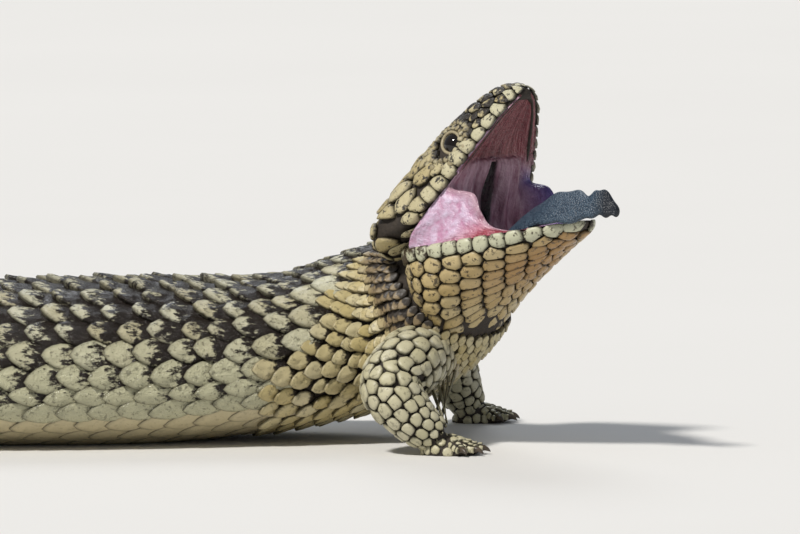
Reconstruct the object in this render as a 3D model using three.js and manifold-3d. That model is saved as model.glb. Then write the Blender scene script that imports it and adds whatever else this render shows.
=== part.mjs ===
// A shingleback, the stump-tailed kind of blue-tongued skink, as a still, life-size model in millimetres.
// It stands on the floor at z = 0 and faces +X, with the origin under the middle of its belly. The head is
// raised and turned to its right, towards -Y, and the mouth gapes with the blue tongue out.

import * as THREE from "three";
import { ConvexGeometry } from "three/addons/geometries/ConvexGeometry.js";
import { ParametricGeometry } from "three/addons/geometries/ParametricGeometry.js";
import { mergeVertices } from "three/addons/utils/BufferGeometryUtils.js";
import Module from "manifold-3d";

const wasm = await Module();
wasm.setup();

const GAP = 0.3; // between nodes that touch
const FLOOR_REACH = 800; // side of the block that trims soles and belly flat

// Trunk: one row for each station from the tail's end to the base of the head. yaw turns a section towards
// +Y, pitch leans its top backwards, up and down are measured from the widest level.
const TRUNK = [
  { x: -179, y: 31, z: 9.5, yaw: -30, pitch: 0, half: 7, up: 6, down: 6.5 },
  { x: -170, y: 26, z: 10, yaw: -28, pitch: 0, half: 13, up: 9.5, down: 9.8 },
  { x: -148, y: 15.5, z: 11, yaw: -25, pitch: 0, half: 17, up: 12, down: 11.6 },
  { x: -122, y: 5, z: 12, yaw: -18, pitch: 0, half: 17.5, up: 14, down: 12.4 },
  { x: -98, y: -1, z: 14.5, yaw: -9, pitch: 0, half: 25, up: 20, down: 14.6 },
  { x: -62, y: -4, z: 17, yaw: 0, pitch: 0, half: 34, up: 25, down: 17.8 },
  { x: -18, y: -3, z: 18, yaw: 3, pitch: 0, half: 39.5, up: 25.5, down: 19 },
  { x: 26, y: 0, z: 18.5, yaw: 4, pitch: 1, half: 37, up: 25.5, down: 19.3 },
  { x: 64, y: 2.5, z: 20.5, yaw: 2, pitch: 5, half: 31.5, up: 24, down: 17.5 },
  { x: 88, y: 3, z: 24.5, yaw: -4, pitch: 18, half: 27, up: 26.5, down: 17 },
  { x: 102.5, y: 0, z: 30, yaw: -16, pitch: 27, half: 23.5, up: 26.5, down: 18 },
  { x: 112.5, y: -11, z: 41.5, yaw: -42, pitch: 39, half: 21, up: 20.5, down: 18.5 },
  { x: 120, y: -18.5, z: 50, yaw: -43, pitch: 42, half: 17.5, up: 13, down: 15 },
];
const TAIL_BASE = 3.25; // in stations
const NECK_ROOT = 9.45;
const NAPE = 11;
const NECK_END = 12; // hidden between the head and the lower jaw

// Head: the pose of the lip line of the upper jaw and of the lower one, both turned by the same yaw.
const HEAD_YAW = -43.4;
const UPPER_PITCH = 59.4;
const LOWER_PITCH = 11.3;
const SNOUT_TIP = new THREE.Vector3(136.2, -34.6, 101.6);
const UPPER_LIP = 51.8; // from the snout's tip back to where the two lip lines cross
const LOWER_LIP = 49.6;
const MOUTH_CORNER = 46; // behind the snout's tip

// Upper head: distance behind the snout's tip, half width, height of the widest level above the lip line, and
// the skin above and below that level.
const SKULL = [
  { at: -1, half: 1.5, level: 1.2, up: 0.9, down: 1 },
  { at: 0, half: 3.1, level: 0.8, up: 4, down: 1.6 },
  { at: 3, half: 5.8, level: 0, up: 8.4, down: 0.8 },
  { at: 8, half: 8.8, level: 0, up: 11.2, down: 0.8 },
  { at: 15, half: 12, level: 0, up: 14.2, down: 0.8 },
  { at: 22, half: 15.2, level: 0, up: 16.3, down: 0.8 },
  { at: 30, half: 18.2, level: 0, up: 17.9, down: 0.9 },
  { at: 38, half: 21.4, level: 0.8, up: 18.4, down: 1.8 },
  { at: 46, half: 24.2, level: 3.5, up: 16.3, down: 4 },
  { at: 53, half: 25, level: 7.5, up: 11.5, down: 4.5 },
  { at: 59, half: 21, level: 9.5, up: 7, down: 5 },
  { at: 63, half: 12, level: 9.5, up: 3, down: 3 },
];
const PALATE = { at: 25, widest: 29, reach: 22, share: 0.7, high: -0.8, height: 4 };
const EYE = { at: 22.2, out: 10.2, up: 7.3, radius: 4.2 };
const LID = { radius: 3.3, tube: 0.95, stretch: 1.34, lift: 0.64 };
const LID_LEAN = { right: 0.86, rise: 0.42, forward: 0.2 }; // the way that an eye looks
const NOSTRIL = { at: 4.2, out: 6.2, up: 4.3, length: 1.4, deep: 2, height: 1.1 };
const EAR = { at: 57.5, out: 22.5, up: 8, length: 2.2, deep: 3.5, height: 4 };

// Lower jaw with the throat: distance behind the chin, half width, and the skin above and below the lip.
const JAW = [
  { at: -1, half: 1.5, up: 0.4, down: 1.4 },
  { at: 0.5, half: 4, up: 0.6, down: 2.6 },
  { at: 5, half: 8.2, up: 0.6, down: 4 },
  { at: 12, half: 12.6, up: 0.6, down: 6 },
  { at: 21, half: 16.8, up: 0.6, down: 9.6 },
  { at: 30, half: 19.8, up: 0.6, down: 13.8 },
  { at: 40, half: 22, up: 0.6, down: 19.6 },
  { at: 48, half: 22, up: 0.8, down: 25.4 },
  { at: 54, half: 19, up: 0.8, down: 26.5 },
];
const MOUTH_FLOOR = { at: 26, widest: 29, reach: 21, share: 0.7, high: 0.8, height: 3 };

// Inside of the mouth: reach of the cheeks and of the back wall, in front of the line where the lips cross.
const CHEEK = { upper: 21, middle: 21.5, lower: 27.5 };
const THROAT_WALL = { upper: 15, middle: 11, lower: 13 };
const THROAT_HOLE = { ahead: 13, length: 9, half: 3.2, height: 8.5 };
const LINING_BACK = 1.5; // how far its back lies in front of that line
const LINING_PAST = { lower: 6, upper: 8 }; // degrees that it runs past each lip plane, into the jaws
const LINING_INSET = 1.6; // from the sides of the jaws
const LINING_FRONT = 0.75; // share of the way round its section that faces the mouth's opening

// Tongue: middle points ahead of the line where the lips cross, to the right and above the lower lip plane,
// from the mouth floor out over the right side of the chin, with half width and lean of the blade in degrees.
const TONGUE = [
  { ahead: 9, right: 0, up: -3, half: 5, lean: 0 },
  { ahead: 19, right: 2.6, up: -2, half: 6, lean: 14 },
  { ahead: 28.8, right: 4.6, up: 1.6, half: 4.6, lean: 34 },
  { ahead: 35.5, right: 5.4, up: 3, half: 4.8, lean: 42 },
  { ahead: 43, right: 6, up: 4.5, half: 5.2, lean: 48 },
  { ahead: 50.5, right: 6, up: 4.4, half: 5.3, lean: 50 },
  { ahead: 56.5, right: 5.5, up: 4, half: 2.9, lean: 60 },
  { ahead: 61, right: 5.2, up: 4, half: 3.8, lean: 76 },
  { ahead: 65, right: 5, up: 2.7, half: 3.2, lean: 74 },
  { ahead: 67.4, right: 4.8, up: 0.4, half: 1.3, lean: 60 },
];
const TONGUE_THICKNESS = 3.4;

// Legs: root inside the trunk, elbow or knee, wrist or ankle, with the radius of the limb at each.
const LEGS = {
  foreleg_right: {
    path: [
      [108, -10, 25, 9.5],
      [103, -33, 25, 9.2],
      [97.5, -44, 19, 8.4],
      [103.5, -46.5, 10.5, 6.8],
      [110.5, -46, 5, 4.8],
    ],
    heading: 2,
  },
  foreleg_left: {
    path: [
      [106, 12, 25, 9.5],
      [112, 34, 24, 9],
      [114, 42, 17.5, 8],
      [117, 45, 10.5, 6.6],
      [120, 47, 5, 4.8],
    ],
    heading: 14,
  },
  hindleg_right: {
    path: [
      [-94, -10, 15, 10],
      [-82, -34, 15, 9.6],
      [-76, -44, 12.5, 8.2],
      [-83, -50, 8, 6.4],
      [-89, -53, 5, 4.8],
    ],
    heading: -42,
  },
  hindleg_left: {
    path: [
      [-98, 10, 15, 10],
      [-90, 33, 15, 9.6],
      [-86, 43, 12.5, 8.2],
      [-94, 48, 8, 6.4],
      [-100, 51, 5, 4.8],
    ],
    heading: 52,
  },
};
const FOOT = { length: 7.6, half: 5.6, height: 5.2, level: 1, ahead: 3 };
const TOES = [
  { turn: -62, length: 3.8 },
  { turn: -30, length: 4.8 },
  { turn: 0, length: 5.4 },
  { turn: 28, length: 5 },
  { turn: 62, length: 3.8 },
];
const TOE = { out: 3.9, root: 2.1, rootLevel: 1.3, tip: 1.6, tipLevel: 0.95 };
const CLAW = { sunk: 1, root: 1, tip: 0.25, length: 2.1, level: 0.5 };

// Scutes of trunk, tail and neck: pitch along the spine, columns round it, how far they stand proud, and
// how far down the flanks they go in degrees from the ridge. Head shields and lip scales come after.
const SCUTES = {
  torso: { pitch: 16.6, columns: 16, proud: 2.3, lowest: 100 },
  tail: { pitch: 13.5, columns: 10, proud: 1.9, lowest: 100 },
  neck: { pitch: 10, columns: 12, proud: 1.5, lowest: 85 },
};
const SCUTE_LENGTH = 1.14; // of the pitch, so that each row overlaps the next
const SCUTE_WIDTH = 0.95; // of the column
const SCUTE_FRONT = 0.44; // of the length, ahead of the middle
const SCUTE_REAR = 0.54;
const SCUTE_VARY = { size: 0.05, stand: 0.14, seed: 5 }; // most that one differs from the next, as a share
const FLANK_DROP = 0.4; // how much lower the scutes lie at the bottom of the flanks
const SHIELD = { pitch: 9.4, wide: 10, proud: 1.1, from: 6, to: 57, clear: 3.2 };
const SHIELD_FAN = { spread: 74, girth: 1.35, rim: 0.6 }; // how the columns share the top of the head
const SHIELD_SIZE = { length: 1.02, width: 0.9 }; // of its row and its column
const LABIALS = { count: 6, from: 4, proud: 0.8, height: 4, length: 0.98 };
const UPPER_LABIALS = { reach: MOUTH_CORNER - 8, angle: 80 };
const LOWER_LABIALS = { reach: LOWER_LIP - 14, angle: 101 };
const ROOT_DEPTH = 3.2;
const LIMB_CLEAR = 16; // no scute's middle lies nearer to the top of a limb

// A section bulges between an ellipse, at power 1, and a box, at power 0.
const BULGE = { trunk: 0.92, skull: 0.81, jaw: 0.86 };

const COLOURS = {
  back: 0x3b352c,
  flank: 0xb9aa7c,
  leg: 0xb6ab86,
  jaw: 0xb59a63,
  lining: 0xc98aa6,
  tongue: 0x2f4a66,
  eye: 0x0b0908,
};

const rad = THREE.MathUtils.degToRad;
const up = new THREE.Vector3(0, 0, 1);

// A closed geometry as a solid: only positions count, shared vertices merge and collapsed faces go.
function solid(geometry) {
  const plain = new THREE.BufferGeometry().setAttribute("position", geometry.getAttribute("position"));
  if (geometry.index) plain.setIndex(geometry.index);
  const merged = mergeVertices(plain, 1e-4);
  const kept = [];
  for (let i = 0; i < merged.index.count; i += 3) {
    const [a, b, c] = [0, 1, 2].map((k) => merged.index.getX(i + k));
    if (a !== b && b !== c && a !== c) kept.push(a, b, c);
  }
  const make = (triVerts) =>
    new wasm.Manifold(
      new wasm.Mesh({
        numProp: 3,
        vertProperties: new Float32Array(merged.attributes.position.array),
        triVerts: new Uint32Array(triVerts),
      }),
    );
  const made = make(kept);
  return made.volume() > 0 ? made : make(kept.reverse());
}

const joined = (pieces) => pieces.reduce((all, piece) => all.add(piece));
const largest = (body) => body.decompose().reduce((a, b) => (a.volume() > b.volume() ? a : b));

// Reads every value of a table of stations at a place between two of them, on a smooth curve through all.
function between(stations, place) {
  const last = stations.length - 1;
  const i = Math.min(Math.max(Math.floor(place), 0), last - 1);
  const t = place - i;
  const [p, a, b, n] = [i - 1, i, i + 1, i + 2].map((k) => stations[Math.min(Math.max(k, 0), last)]);
  const read = {};
  for (const key of Object.keys(a)) {
    const [slopeA, slopeB] = [(b[key] - p[key]) / 2, (n[key] - a[key]) / 2];
    const [t2, t3] = [t * t, t * t * t];
    read[key] =
      a[key] * (2 * t3 - 3 * t2 + 1) +
      slopeA * (t3 - 2 * t2 + t) +
      b[key] * (3 * t2 - 2 * t3) +
      slopeB * (t3 - t2);
  }
  return read;
}

// Place, in stations, where a table's key has a value: the stations' values rise from first to last.
function placeOf(stations, key, value) {
  const i = Math.max(1, stations.findIndex((s) => s[key] >= value));
  const [a, b] = [stations[i - 1], stations[i]];
  return i - 1 + (value - a[key]) / (b[key] - a[key]);
}

const bulged = (v, power) => Math.sign(v) * Math.abs(v) ** power;

// Seeded random numbers from -1 to 1, the same in each run.
function seeded(seed) {
  let state = seed;
  return () => {
    state = (Math.imul(state, 1664525) + 1013904223) >>> 0;
    return state / 2 ** 31 - 1;
  };
}

// A tube closed at both ends: ring(t, angle, target) gives its skin for t from 0 to 1, middle(t) its line.
function tube(ring, middle, rings, sides) {
  const stacks = rings + 2;
  const geometry = new ParametricGeometry(
    (u, v, target) => {
      const k = Math.round(u * stacks);
      const t = Math.min(Math.max((k - 1) / rings, 0), 1);
      if (k === 0 || k === stacks) target.copy(middle(t));
      else ring(t, (Math.round(v * sides) % sides) * ((2 * Math.PI) / sides), target);
    },
    stacks,
    sides,
  );
  return solid(geometry);
}

// Axes of a section or a jaw from its yaw and pitch: forward, the animal's right, and the rise from them.
function axes(yawDegrees, pitchDegrees) {
  const [yaw, pitch] = [rad(yawDegrees), rad(pitchDegrees)];
  const forward = new THREE.Vector3(Math.cos(yaw), Math.sin(yaw), 0).multiplyScalar(Math.cos(pitch));
  forward.setZ(Math.sin(pitch));
  const right = new THREE.Vector3(Math.sin(yaw), -Math.cos(yaw), 0);
  return { forward, right, rise: new THREE.Vector3().crossVectors(right, forward) };
}

// Point on the trunk at a station place, an angle from the ridge of the back and a lift off the skin.
function trunkPoint(place, angle, lift, target = new THREE.Vector3()) {
  const s = between(TRUNK, place);
  const { right, rise } = axes(s.yaw, s.pitch);
  const high = (Math.cos(angle) > 0 ? s.up : s.down) + lift;
  return target
    .set(s.x, s.y, s.z)
    .addScaledVector(right, (s.half + lift) * bulged(Math.sin(angle), BULGE.trunk))
    .addScaledVector(rise, high * bulged(Math.cos(angle), BULGE.trunk));
}

function trunkLength(from, to, steps) {
  const line = (place) => {
    const s = between(TRUNK, place);
    return new THREE.Vector3(s.x, s.y, s.z);
  };
  const places = Array.from({ length: steps + 1 }, (_, k) => from + ((to - from) * k) / steps);
  const lengths = [0];
  for (let k = 1; k <= steps; k++) {
    const step = line(places[k]).distanceTo(line(places[k - 1]));
    lengths.push(lengths[k - 1] + step);
  }
  return { places, lengths };
}

const spine = trunkLength(0, NECK_END, 240);

// Station place at a distance along the spine from the tail's end.
function placeAlong(distance) {
  const k = Math.max(1, spine.lengths.findIndex((l) => l >= distance));
  const share = (distance - spine.lengths[k - 1]) / (spine.lengths[k] - spine.lengths[k - 1]);
  return spine.places[k - 1] + share * (spine.places[k] - spine.places[k - 1]);
}

// A length of the trunk, closed at both ends, grown outwards and at its ends.
function trunkTube(from, to, grow, rings, sides) {
  const placeAt = (t) => from + (to - from) * t;
  const grownEnd = (t, target) => {
    if (t !== 0 && t !== 1) return target;
    const s = between(TRUNK, placeAt(t));
    return target.addScaledVector(axes(s.yaw, s.pitch).forward, t === 0 ? -grow : grow);
  };
  return tube(
    (t, angle, target) => grownEnd(t, trunkPoint(placeAt(t), angle, grow, target)),
    (t) => {
      const s = between(TRUNK, placeAt(t));
      return grownEnd(t, new THREE.Vector3(s.x, s.y, s.z));
    },
    rings,
    sides,
  );
}

const spread = (size, grow) => size + Math.sign(size) * grow;

// One overlapping plate. at(along, across, lift) gives the skin round its middle; the front edge is sunk, the
// rear edge stands proud, and the root tapers to a point below the skin. An outline row holds its place along
// and across, as shares of length and width, and its height as a share of how far the plate stands proud.
function scute(at, length, width, proud, grow) {
  const outline = [
    [SCUTE_FRONT, 0.26, -0.3],
    [-0.02, 0.5, 0.45],
    [-0.38, 0.34, 0.9],
    [-SCUTE_REAR, 0, 0.86],
  ];
  const points = [at(0.14 * length, 0, -ROOT_DEPTH), at(-0.16 * length, 0, proud * 1.12 + grow)];
  for (const [along, across, lift] of outline)
    for (const side of across ? [-1, 1] : [0])
      points.push(at(spread(along * length, grow), side * (across * width + grow), lift * proud + grow));
  return solid(new ConvexGeometry(points));
}

// How far a scute reaches behind and in front of its middle, with the gap to the next node.
const scuteReach = ({ pitch }) =>
  [SCUTE_REAR, SCUTE_FRONT].map((share) => share * pitch * SCUTE_LENGTH * (1 + SCUTE_VARY.size) + 2 * GAP);

// A raised, blunt shield with six corners, set as deep as a scute.
function shield(at, length, width, proud, grow) {
  const points = [at(0, 0, -ROOT_DEPTH), at(0, 0, proud * 1.25 + grow)];
  for (let k = 0; k < 6; k++) {
    const turn = (k * Math.PI) / 3 + Math.PI / 6;
    const [along, across] = [(length / 2 + grow) * Math.cos(turn), (width / 2 + grow) * Math.sin(turn)];
    points.push(at(along, across, proud * 0.75 + grow));
  }
  return solid(new ConvexGeometry(points));
}

// Plates over a stretch of the trunk, in rows whose columns step sideways by half a plate.
function trunkScutes({ pitch, columns, proud, lowest }, from, to, clear, grow) {
  const plates = [];
  const random = seeded(SCUTE_VARY.seed);
  const step = (2 * Math.PI) / columns;
  const rows = Math.floor((to - from) / pitch);
  for (let row = 0; row <= rows; row++) {
    const distance = from + row * pitch;
    const place = placeAlong(distance);
    const s = between(TRUNK, place);
    for (let column = -columns / 2; column < columns / 2; column++) {
      const angle = (column + (row % 2) / 2) * step;
      if (Math.abs(angle) > rad(lowest)) continue;
      const middle = trunkPoint(place, angle, 0);
      if (clear.some(([spot, reach]) => middle.distanceTo(spot) < reach)) continue;
      const arc = Math.hypot(s.half * Math.cos(angle), s.up * Math.sin(angle));
      const at = (along, across, lift) =>
        trunkPoint(placeAlong(distance + along), angle + across / arc, lift);
      const size = 1 + SCUTE_VARY.size * random();
      const stand = proud * (1 - FLANK_DROP * (angle / rad(lowest)) ** 2) * (1 + SCUTE_VARY.stand * random());
      plates.push(scute(at, pitch * SCUTE_LENGTH * size, arc * step * SCUTE_WIDTH * size, stand, grow));
    }
  }
  return plates;
}

// Frame of one jaw, whose lip line runs back from the tip.
function jawFrame(pitch, tip) {
  const { forward, right, rise } = axes(HEAD_YAW, pitch);
  const point = (behind, out, high, target = new THREE.Vector3()) =>
    target
      .copy(tip)
      .addScaledVector(forward, -behind)
      .addScaledVector(right, out)
      .addScaledVector(rise, high);
  return { forward, right, rise, point };
}

const upper = jawFrame(UPPER_PITCH, SNOUT_TIP);
const hinge = upper.point(UPPER_LIP, 0, 0);
const lowerForward = jawFrame(LOWER_PITCH, hinge).forward;
const lower = jawFrame(LOWER_PITCH, hinge.clone().addScaledVector(lowerForward, LOWER_LIP));

function skullPoint(place, angle, lift, target) {
  const s = between(SKULL, place);
  const reach = (Math.cos(angle) > 0 ? s.up : s.down) + lift;
  const high = s.level + reach * bulged(Math.cos(angle), BULGE.skull);
  return upper.point(s.at, (s.half + lift) * bulged(Math.sin(angle), BULGE.skull), high, target);
}

function jawPoint(place, angle, lift, target) {
  const s = between(JAW, place);
  const high = ((Math.cos(angle) > 0 ? s.up : s.down) + lift) * bulged(Math.cos(angle), BULGE.jaw);
  return lower.point(s.at, (s.half + lift) * bulged(Math.sin(angle), BULGE.jaw), high, target);
}

// An upper or lower jaw as a tube between the first and last station, swollen by lift.
function jawTube(stations, point, frame, lift, rings, sides) {
  const last = stations.length - 1;
  const end = (t) => (t < 0.5 ? lift : -lift);
  return tube(
    (t, angle, target) => {
      point(t * last, angle, lift, target);
      if (t === 0 || t === 1) target.addScaledVector(frame.forward, end(t));
    },
    (t) => {
      const s = between(stations, t * last);
      const high = (s.level ?? 0) + (s.up - s.down) / 2;
      return frame.point(s.at, 0, high).addScaledVector(frame.forward, end(t));
    },
    rings,
    sides,
  );
}

// An egg-shaped piece in a jaw's frame, for the palate's vault, the mouth floor and small pits.
function egg(frame, behind, out, high, reach, half, height, sides = 12) {
  const geometry = new THREE.SphereGeometry(1, sides, Math.round(sides * 0.7));
  const basis = new THREE.Matrix4().makeBasis(frame.forward, frame.right, frame.rise);
  const matrix = basis
    .scale(new THREE.Vector3(reach, half, height))
    .setPosition(frame.point(behind, out, high));
  return solid(geometry.applyMatrix4(matrix));
}

const pit = ({ at, out, up, length, deep, height }, side) =>
  egg(upper, at, side * out, up, length, deep, height, 8);

function skullBody(lift) {
  return jawTube(SKULL, skullPoint, upper, lift, 13, 16);
}

function jawBody(lift) {
  return jawTube(JAW, jawPoint, lower, lift, 11, 16);
}

function skullHalf(at) {
  return between(SKULL, placeOf(SKULL, "at", at)).half;
}

function jawHalf(at) {
  return between(JAW, placeOf(JAW, "at", at)).half;
}

// The two lids as one stretched ring round the eye, leaning with the side of the head.
function lids(side) {
  const ring = new THREE.TorusGeometry(LID.radius, LID.tube, 5, 12);
  const outward = new THREE.Vector3()
    .addScaledVector(upper.right, side * LID_LEAN.right)
    .addScaledVector(upper.rise, LID_LEAN.rise)
    .addScaledVector(upper.forward, LID_LEAN.forward)
    .normalize();
  const along = upper.forward.clone().addScaledVector(outward, -upper.forward.dot(outward)).normalize();
  const across = new THREE.Vector3().crossVectors(outward, along);
  const middle = upper.point(EYE.at, side * EYE.out, EYE.up).addScaledVector(outward, EYE.radius * LID.lift);
  const matrix = new THREE.Matrix4()
    .makeBasis(along, across, outward)
    .scale(new THREE.Vector3(LID.stretch, 1, 1))
    .setPosition(middle);
  return solid(ring.applyMatrix4(matrix));
}

function eyeball(side, radius) {
  const ball = new THREE.SphereGeometry(radius, 12, 9);
  const middle = upper.point(EYE.at, side * EYE.out, EYE.up);
  return solid(ball.translate(middle.x, middle.y, middle.z));
}

// Shields of the crown and temples, in rows across the head that step sideways by half a shield.
function headShields(grow) {
  const plates = [];
  const { pitch, wide, proud, from, to, clear } = SHIELD;
  const { spread, girth, rim } = SHIELD_FAN;
  const eyes = [-1, 1].map((side) => upper.point(EYE.at, side * (EYE.out + 3), EYE.up));
  const rows = Math.round((to - from) / pitch);
  for (let row = 0; row <= rows; row++) {
    const behind = from + row * pitch;
    const s = between(SKULL, placeOf(SKULL, "at", behind));
    const half = Math.max(1, Math.round((s.half * girth) / wide));
    for (let k = -half; k <= half; k++) {
      const angle = ((k + (row % 2) / 2) / (half + rim)) * rad(spread);
      if (Math.abs(angle) > rad(spread)) continue;
      const arc = Math.hypot(s.half * Math.cos(angle), s.up * Math.sin(angle));
      const at = (along, across, lift) =>
        skullPoint(placeOf(SKULL, "at", behind - along), angle + across / arc, lift);
      if (eyes.some((eye) => eye.distanceTo(at(0, 0, 0)) < EYE.radius + clear)) continue;
      plates.push(shield(at, pitch * SHIELD_SIZE.length, wide * SHIELD_SIZE.width, proud, grow));
    }
  }
  return plates;
}

// One row of scales along each side of a lip, at an angle from the top of the jaw's section.
function lipScales(stations, point, { reach, angle }, grow) {
  const plates = [];
  const pitch = reach / LABIALS.count;
  for (const side of [-1, 1])
    for (let k = 0; k < LABIALS.count; k++) {
      const behind = LABIALS.from + (k + 0.5) * pitch;
      const s = between(stations, placeOf(stations, "at", behind));
      const deep = angle < 90 ? s.up : s.down;
      const at = (along, across, lift) =>
        point(placeOf(stations, "at", behind - along), side * rad(angle) + across / deep, lift);
      plates.push(shield(at, pitch * LABIALS.length, LABIALS.height, LABIALS.proud, grow));
    }
  return plates;
}

function headOutside(grow) {
  const lips = lipScales(SKULL, skullPoint, UPPER_LABIALS, grow);
  return joined([skullBody(grow), ...headShields(grow), ...lips]);
}

function jawOutside(grow) {
  return joined([jawBody(grow), ...lipScales(JAW, jawPoint, LOWER_LABIALS, grow)]);
}

function head() {
  const half = PALATE.share * skullHalf(PALATE.widest);
  let body = headOutside(0).subtract(
    egg(upper, PALATE.at, 0, PALATE.high, PALATE.reach, half, PALATE.height),
  );
  for (const side of [-1, 1]) {
    body = body
      .add(lids(side))
      .subtract(eyeball(side, EYE.radius + GAP))
      .subtract(pit(NOSTRIL, side))
      .subtract(pit(EAR, side));
  }
  return largest(body);
}

function jaw() {
  const half = MOUTH_FLOOR.share * jawHalf(MOUTH_FLOOR.widest);
  const floor = egg(lower, MOUTH_FLOOR.at, 0, MOUTH_FLOOR.high, MOUTH_FLOOR.reach, half, MOUTH_FLOOR.height);
  return jawOutside(0).subtract(floor).subtract(headTool).subtract(tongueTool);
}

// The lining of the mouth: a curtain that reaches forward along both cheeks and back to the throat, between
// the two lip planes. It is a tube across the head from the left cheek to the right one.
function lining() {
  const wedge = (share, reach) => {
    const [low, high] = [LOWER_PITCH - LINING_PAST.lower, UPPER_PITCH + LINING_PAST.upper];
    return axes(HEAD_YAW, low + (high - low) * share).forward.multiplyScalar(reach);
  };
  const smooth = (v) => v * v * (3 - 2 * v);
  const reachAt = (wall, cheek, side) => wall + (cheek - wall) * smooth(Math.min(1, Math.abs(side) ** 1.6));
  const halfAt = (reach) => Math.min(skullHalf(UPPER_LIP - reach), jawHalf(LOWER_LIP - reach)) - LINING_INSET;
  const ring = (t, angle, target) => {
    const side = -1 + 2 * t;
    const turn = angle / (2 * Math.PI);
    const front = turn < LINING_FRONT;
    const share = front ? turn / LINING_FRONT : (1 - turn) / (1 - LINING_FRONT);
    const knots = [
      reachAt(THROAT_WALL.lower, CHEEK.lower, side),
      reachAt(THROAT_WALL.middle, CHEEK.middle, side),
      reachAt(THROAT_WALL.upper, CHEEK.upper, side),
    ];
    const [a, b] = share < 0.5 ? knots : knots.slice(1);
    const reach = front ? a + (b - a) * smooth((share * 2) % 1) : LINING_BACK;
    const out = side * halfAt(front ? reach : THROAT_WALL.middle);
    return target.copy(hinge).add(wedge(share, reach)).addScaledVector(upper.right, out);
  };
  const middle = (t) => {
    const target = hinge.clone().add(wedge(0.5, THROAT_WALL.middle * 0.8));
    return target.addScaledVector(upper.right, (-1 + 2 * t) * halfAt(THROAT_WALL.middle));
  };
  const middleFrame = jawFrame((UPPER_PITCH + LOWER_PITCH) / 2, hinge);
  const { ahead, length, half, height } = THROAT_HOLE;
  const hole = egg(middleFrame, -ahead, 0, 0, length, half, height);
  return tube(ring, middle, 14, 16).subtract(hole).subtract(tongueTool);
}

// The tongue: a flat blade carried along its line, its width leaning over the lip.
function tongue(grow) {
  const last = TONGUE.length - 1;
  const middle = (t) => {
    const s = between(TONGUE, t * last);
    return hinge
      .clone()
      .addScaledVector(lower.forward, s.ahead)
      .addScaledVector(lower.right, s.right)
      .addScaledVector(lower.rise, s.up);
  };
  const ring = (t, angle, target) => {
    const s = between(TONGUE, t * last);
    const lean = rad(s.lean);
    const across = (s.half + grow) * Math.cos(angle);
    const thick = (TONGUE_THICKNESS / 2 + grow) * Math.sin(angle);
    return target
      .copy(middle(t))
      .addScaledVector(lower.right, across * Math.cos(lean) + thick * Math.sin(lean))
      .addScaledVector(lower.rise, thick * Math.cos(lean) - across * Math.sin(lean));
  };
  return tube(ring, middle, 16, 10);
}

const floorBlock = solid(
  new THREE.BoxGeometry(FLOOR_REACH, FLOOR_REACH, 40).translate(0, 0, -20),
);

// A limb from its root in the trunk to the wrist or ankle, as a tube whose radius follows the path.
function limb(path) {
  const stations = path.map(([x, y, z, radius]) => ({ x, y, z, radius }));
  const last = stations.length - 1;
  const middle = (t) => {
    const s = between(stations, t * last);
    return new THREE.Vector3(s.x, s.y, s.z);
  };
  const ring = (t, angle, target) => {
    const [a, b] = [middle(Math.max(t - 0.02, 0)), middle(Math.min(t + 0.02, 1))];
    const forward = b.sub(a).normalize();
    const side = new THREE.Vector3().crossVectors(up, forward).normalize();
    const top = new THREE.Vector3().crossVectors(forward, side);
    const { radius } = between(stations, t * last);
    return target
      .copy(middle(t))
      .addScaledVector(side, radius * Math.cos(angle))
      .addScaledVector(top, radius * Math.sin(angle));
  };
  return tube(ring, middle, 9, 10);
}

// A foot: a low palm with five short toes and a claw on each, all flat on the floor.
function foot([x, y], heading) {
  const turned = (angle) => new THREE.Vector3(Math.cos(rad(angle)), Math.sin(rad(angle)), 0);
  const forward = turned(heading);
  const middle = new THREE.Vector3(x, y, 0).addScaledVector(forward, FOOT.ahead);
  const palm = new THREE.SphereGeometry(1, 10, 6);
  palm.applyMatrix4(
    new THREE.Matrix4()
      .makeBasis(forward, turned(heading + 90), up)
      .scale(new THREE.Vector3(FOOT.length, FOOT.half, FOOT.height))
      .setPosition(middle.clone().setZ(FOOT.level)),
  );
  const pieces = [solid(palm)];
  for (const { turn, length } of TOES) {
    const way = turned(heading + turn);
    const root = middle.clone().addScaledVector(way, TOE.out).setZ(TOE.rootLevel);
    const tip = root.clone().addScaledVector(way, length).setZ(TOE.tipLevel);
    pieces.push(tapered(root, tip, TOE.root, TOE.tip, 6));
    const point = tip.clone().addScaledVector(way, CLAW.length).setZ(CLAW.level);
    pieces.push(tapered(tip.clone().addScaledVector(way, -CLAW.sunk), point, CLAW.root, CLAW.tip, 4));
  }
  return joined(pieces);
}

function tapered(from, to, rootRadius, tipRadius, sides) {
  const line = to.clone().sub(from);
  const cone = new THREE.CylinderGeometry(tipRadius, rootRadius, line.length(), sides, 1);
  const middle = from.clone().add(to).divideScalar(2);
  const cylinderAxis = new THREE.Vector3(0, 1, 0);
  cone.applyQuaternion(new THREE.Quaternion().setFromUnitVectors(cylinderAxis, line.normalize()));
  return solid(cone.translate(middle.x, middle.y, middle.z));
}

const model = new THREE.Group();

function place(name, body, colour, roughness) {
  const mesh = body.getMesh();
  const positions = new Float32Array(mesh.numVert * 3);
  for (let i = 0; i < mesh.numVert; i++)
    positions.set(mesh.vertProperties.subarray(i * mesh.numProp, i * mesh.numProp + 3), i * 3);
  const geometry = new THREE.BufferGeometry()
    .setAttribute("position", new THREE.BufferAttribute(positions, 3))
    .setIndex(new THREE.BufferAttribute(mesh.triVerts, 1));
  geometry.computeVertexNormals();
  const node = new THREE.Mesh(geometry, new THREE.MeshStandardMaterial({ color: colour, roughness }));
  node.name = name;
  model.add(node);
}

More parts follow.
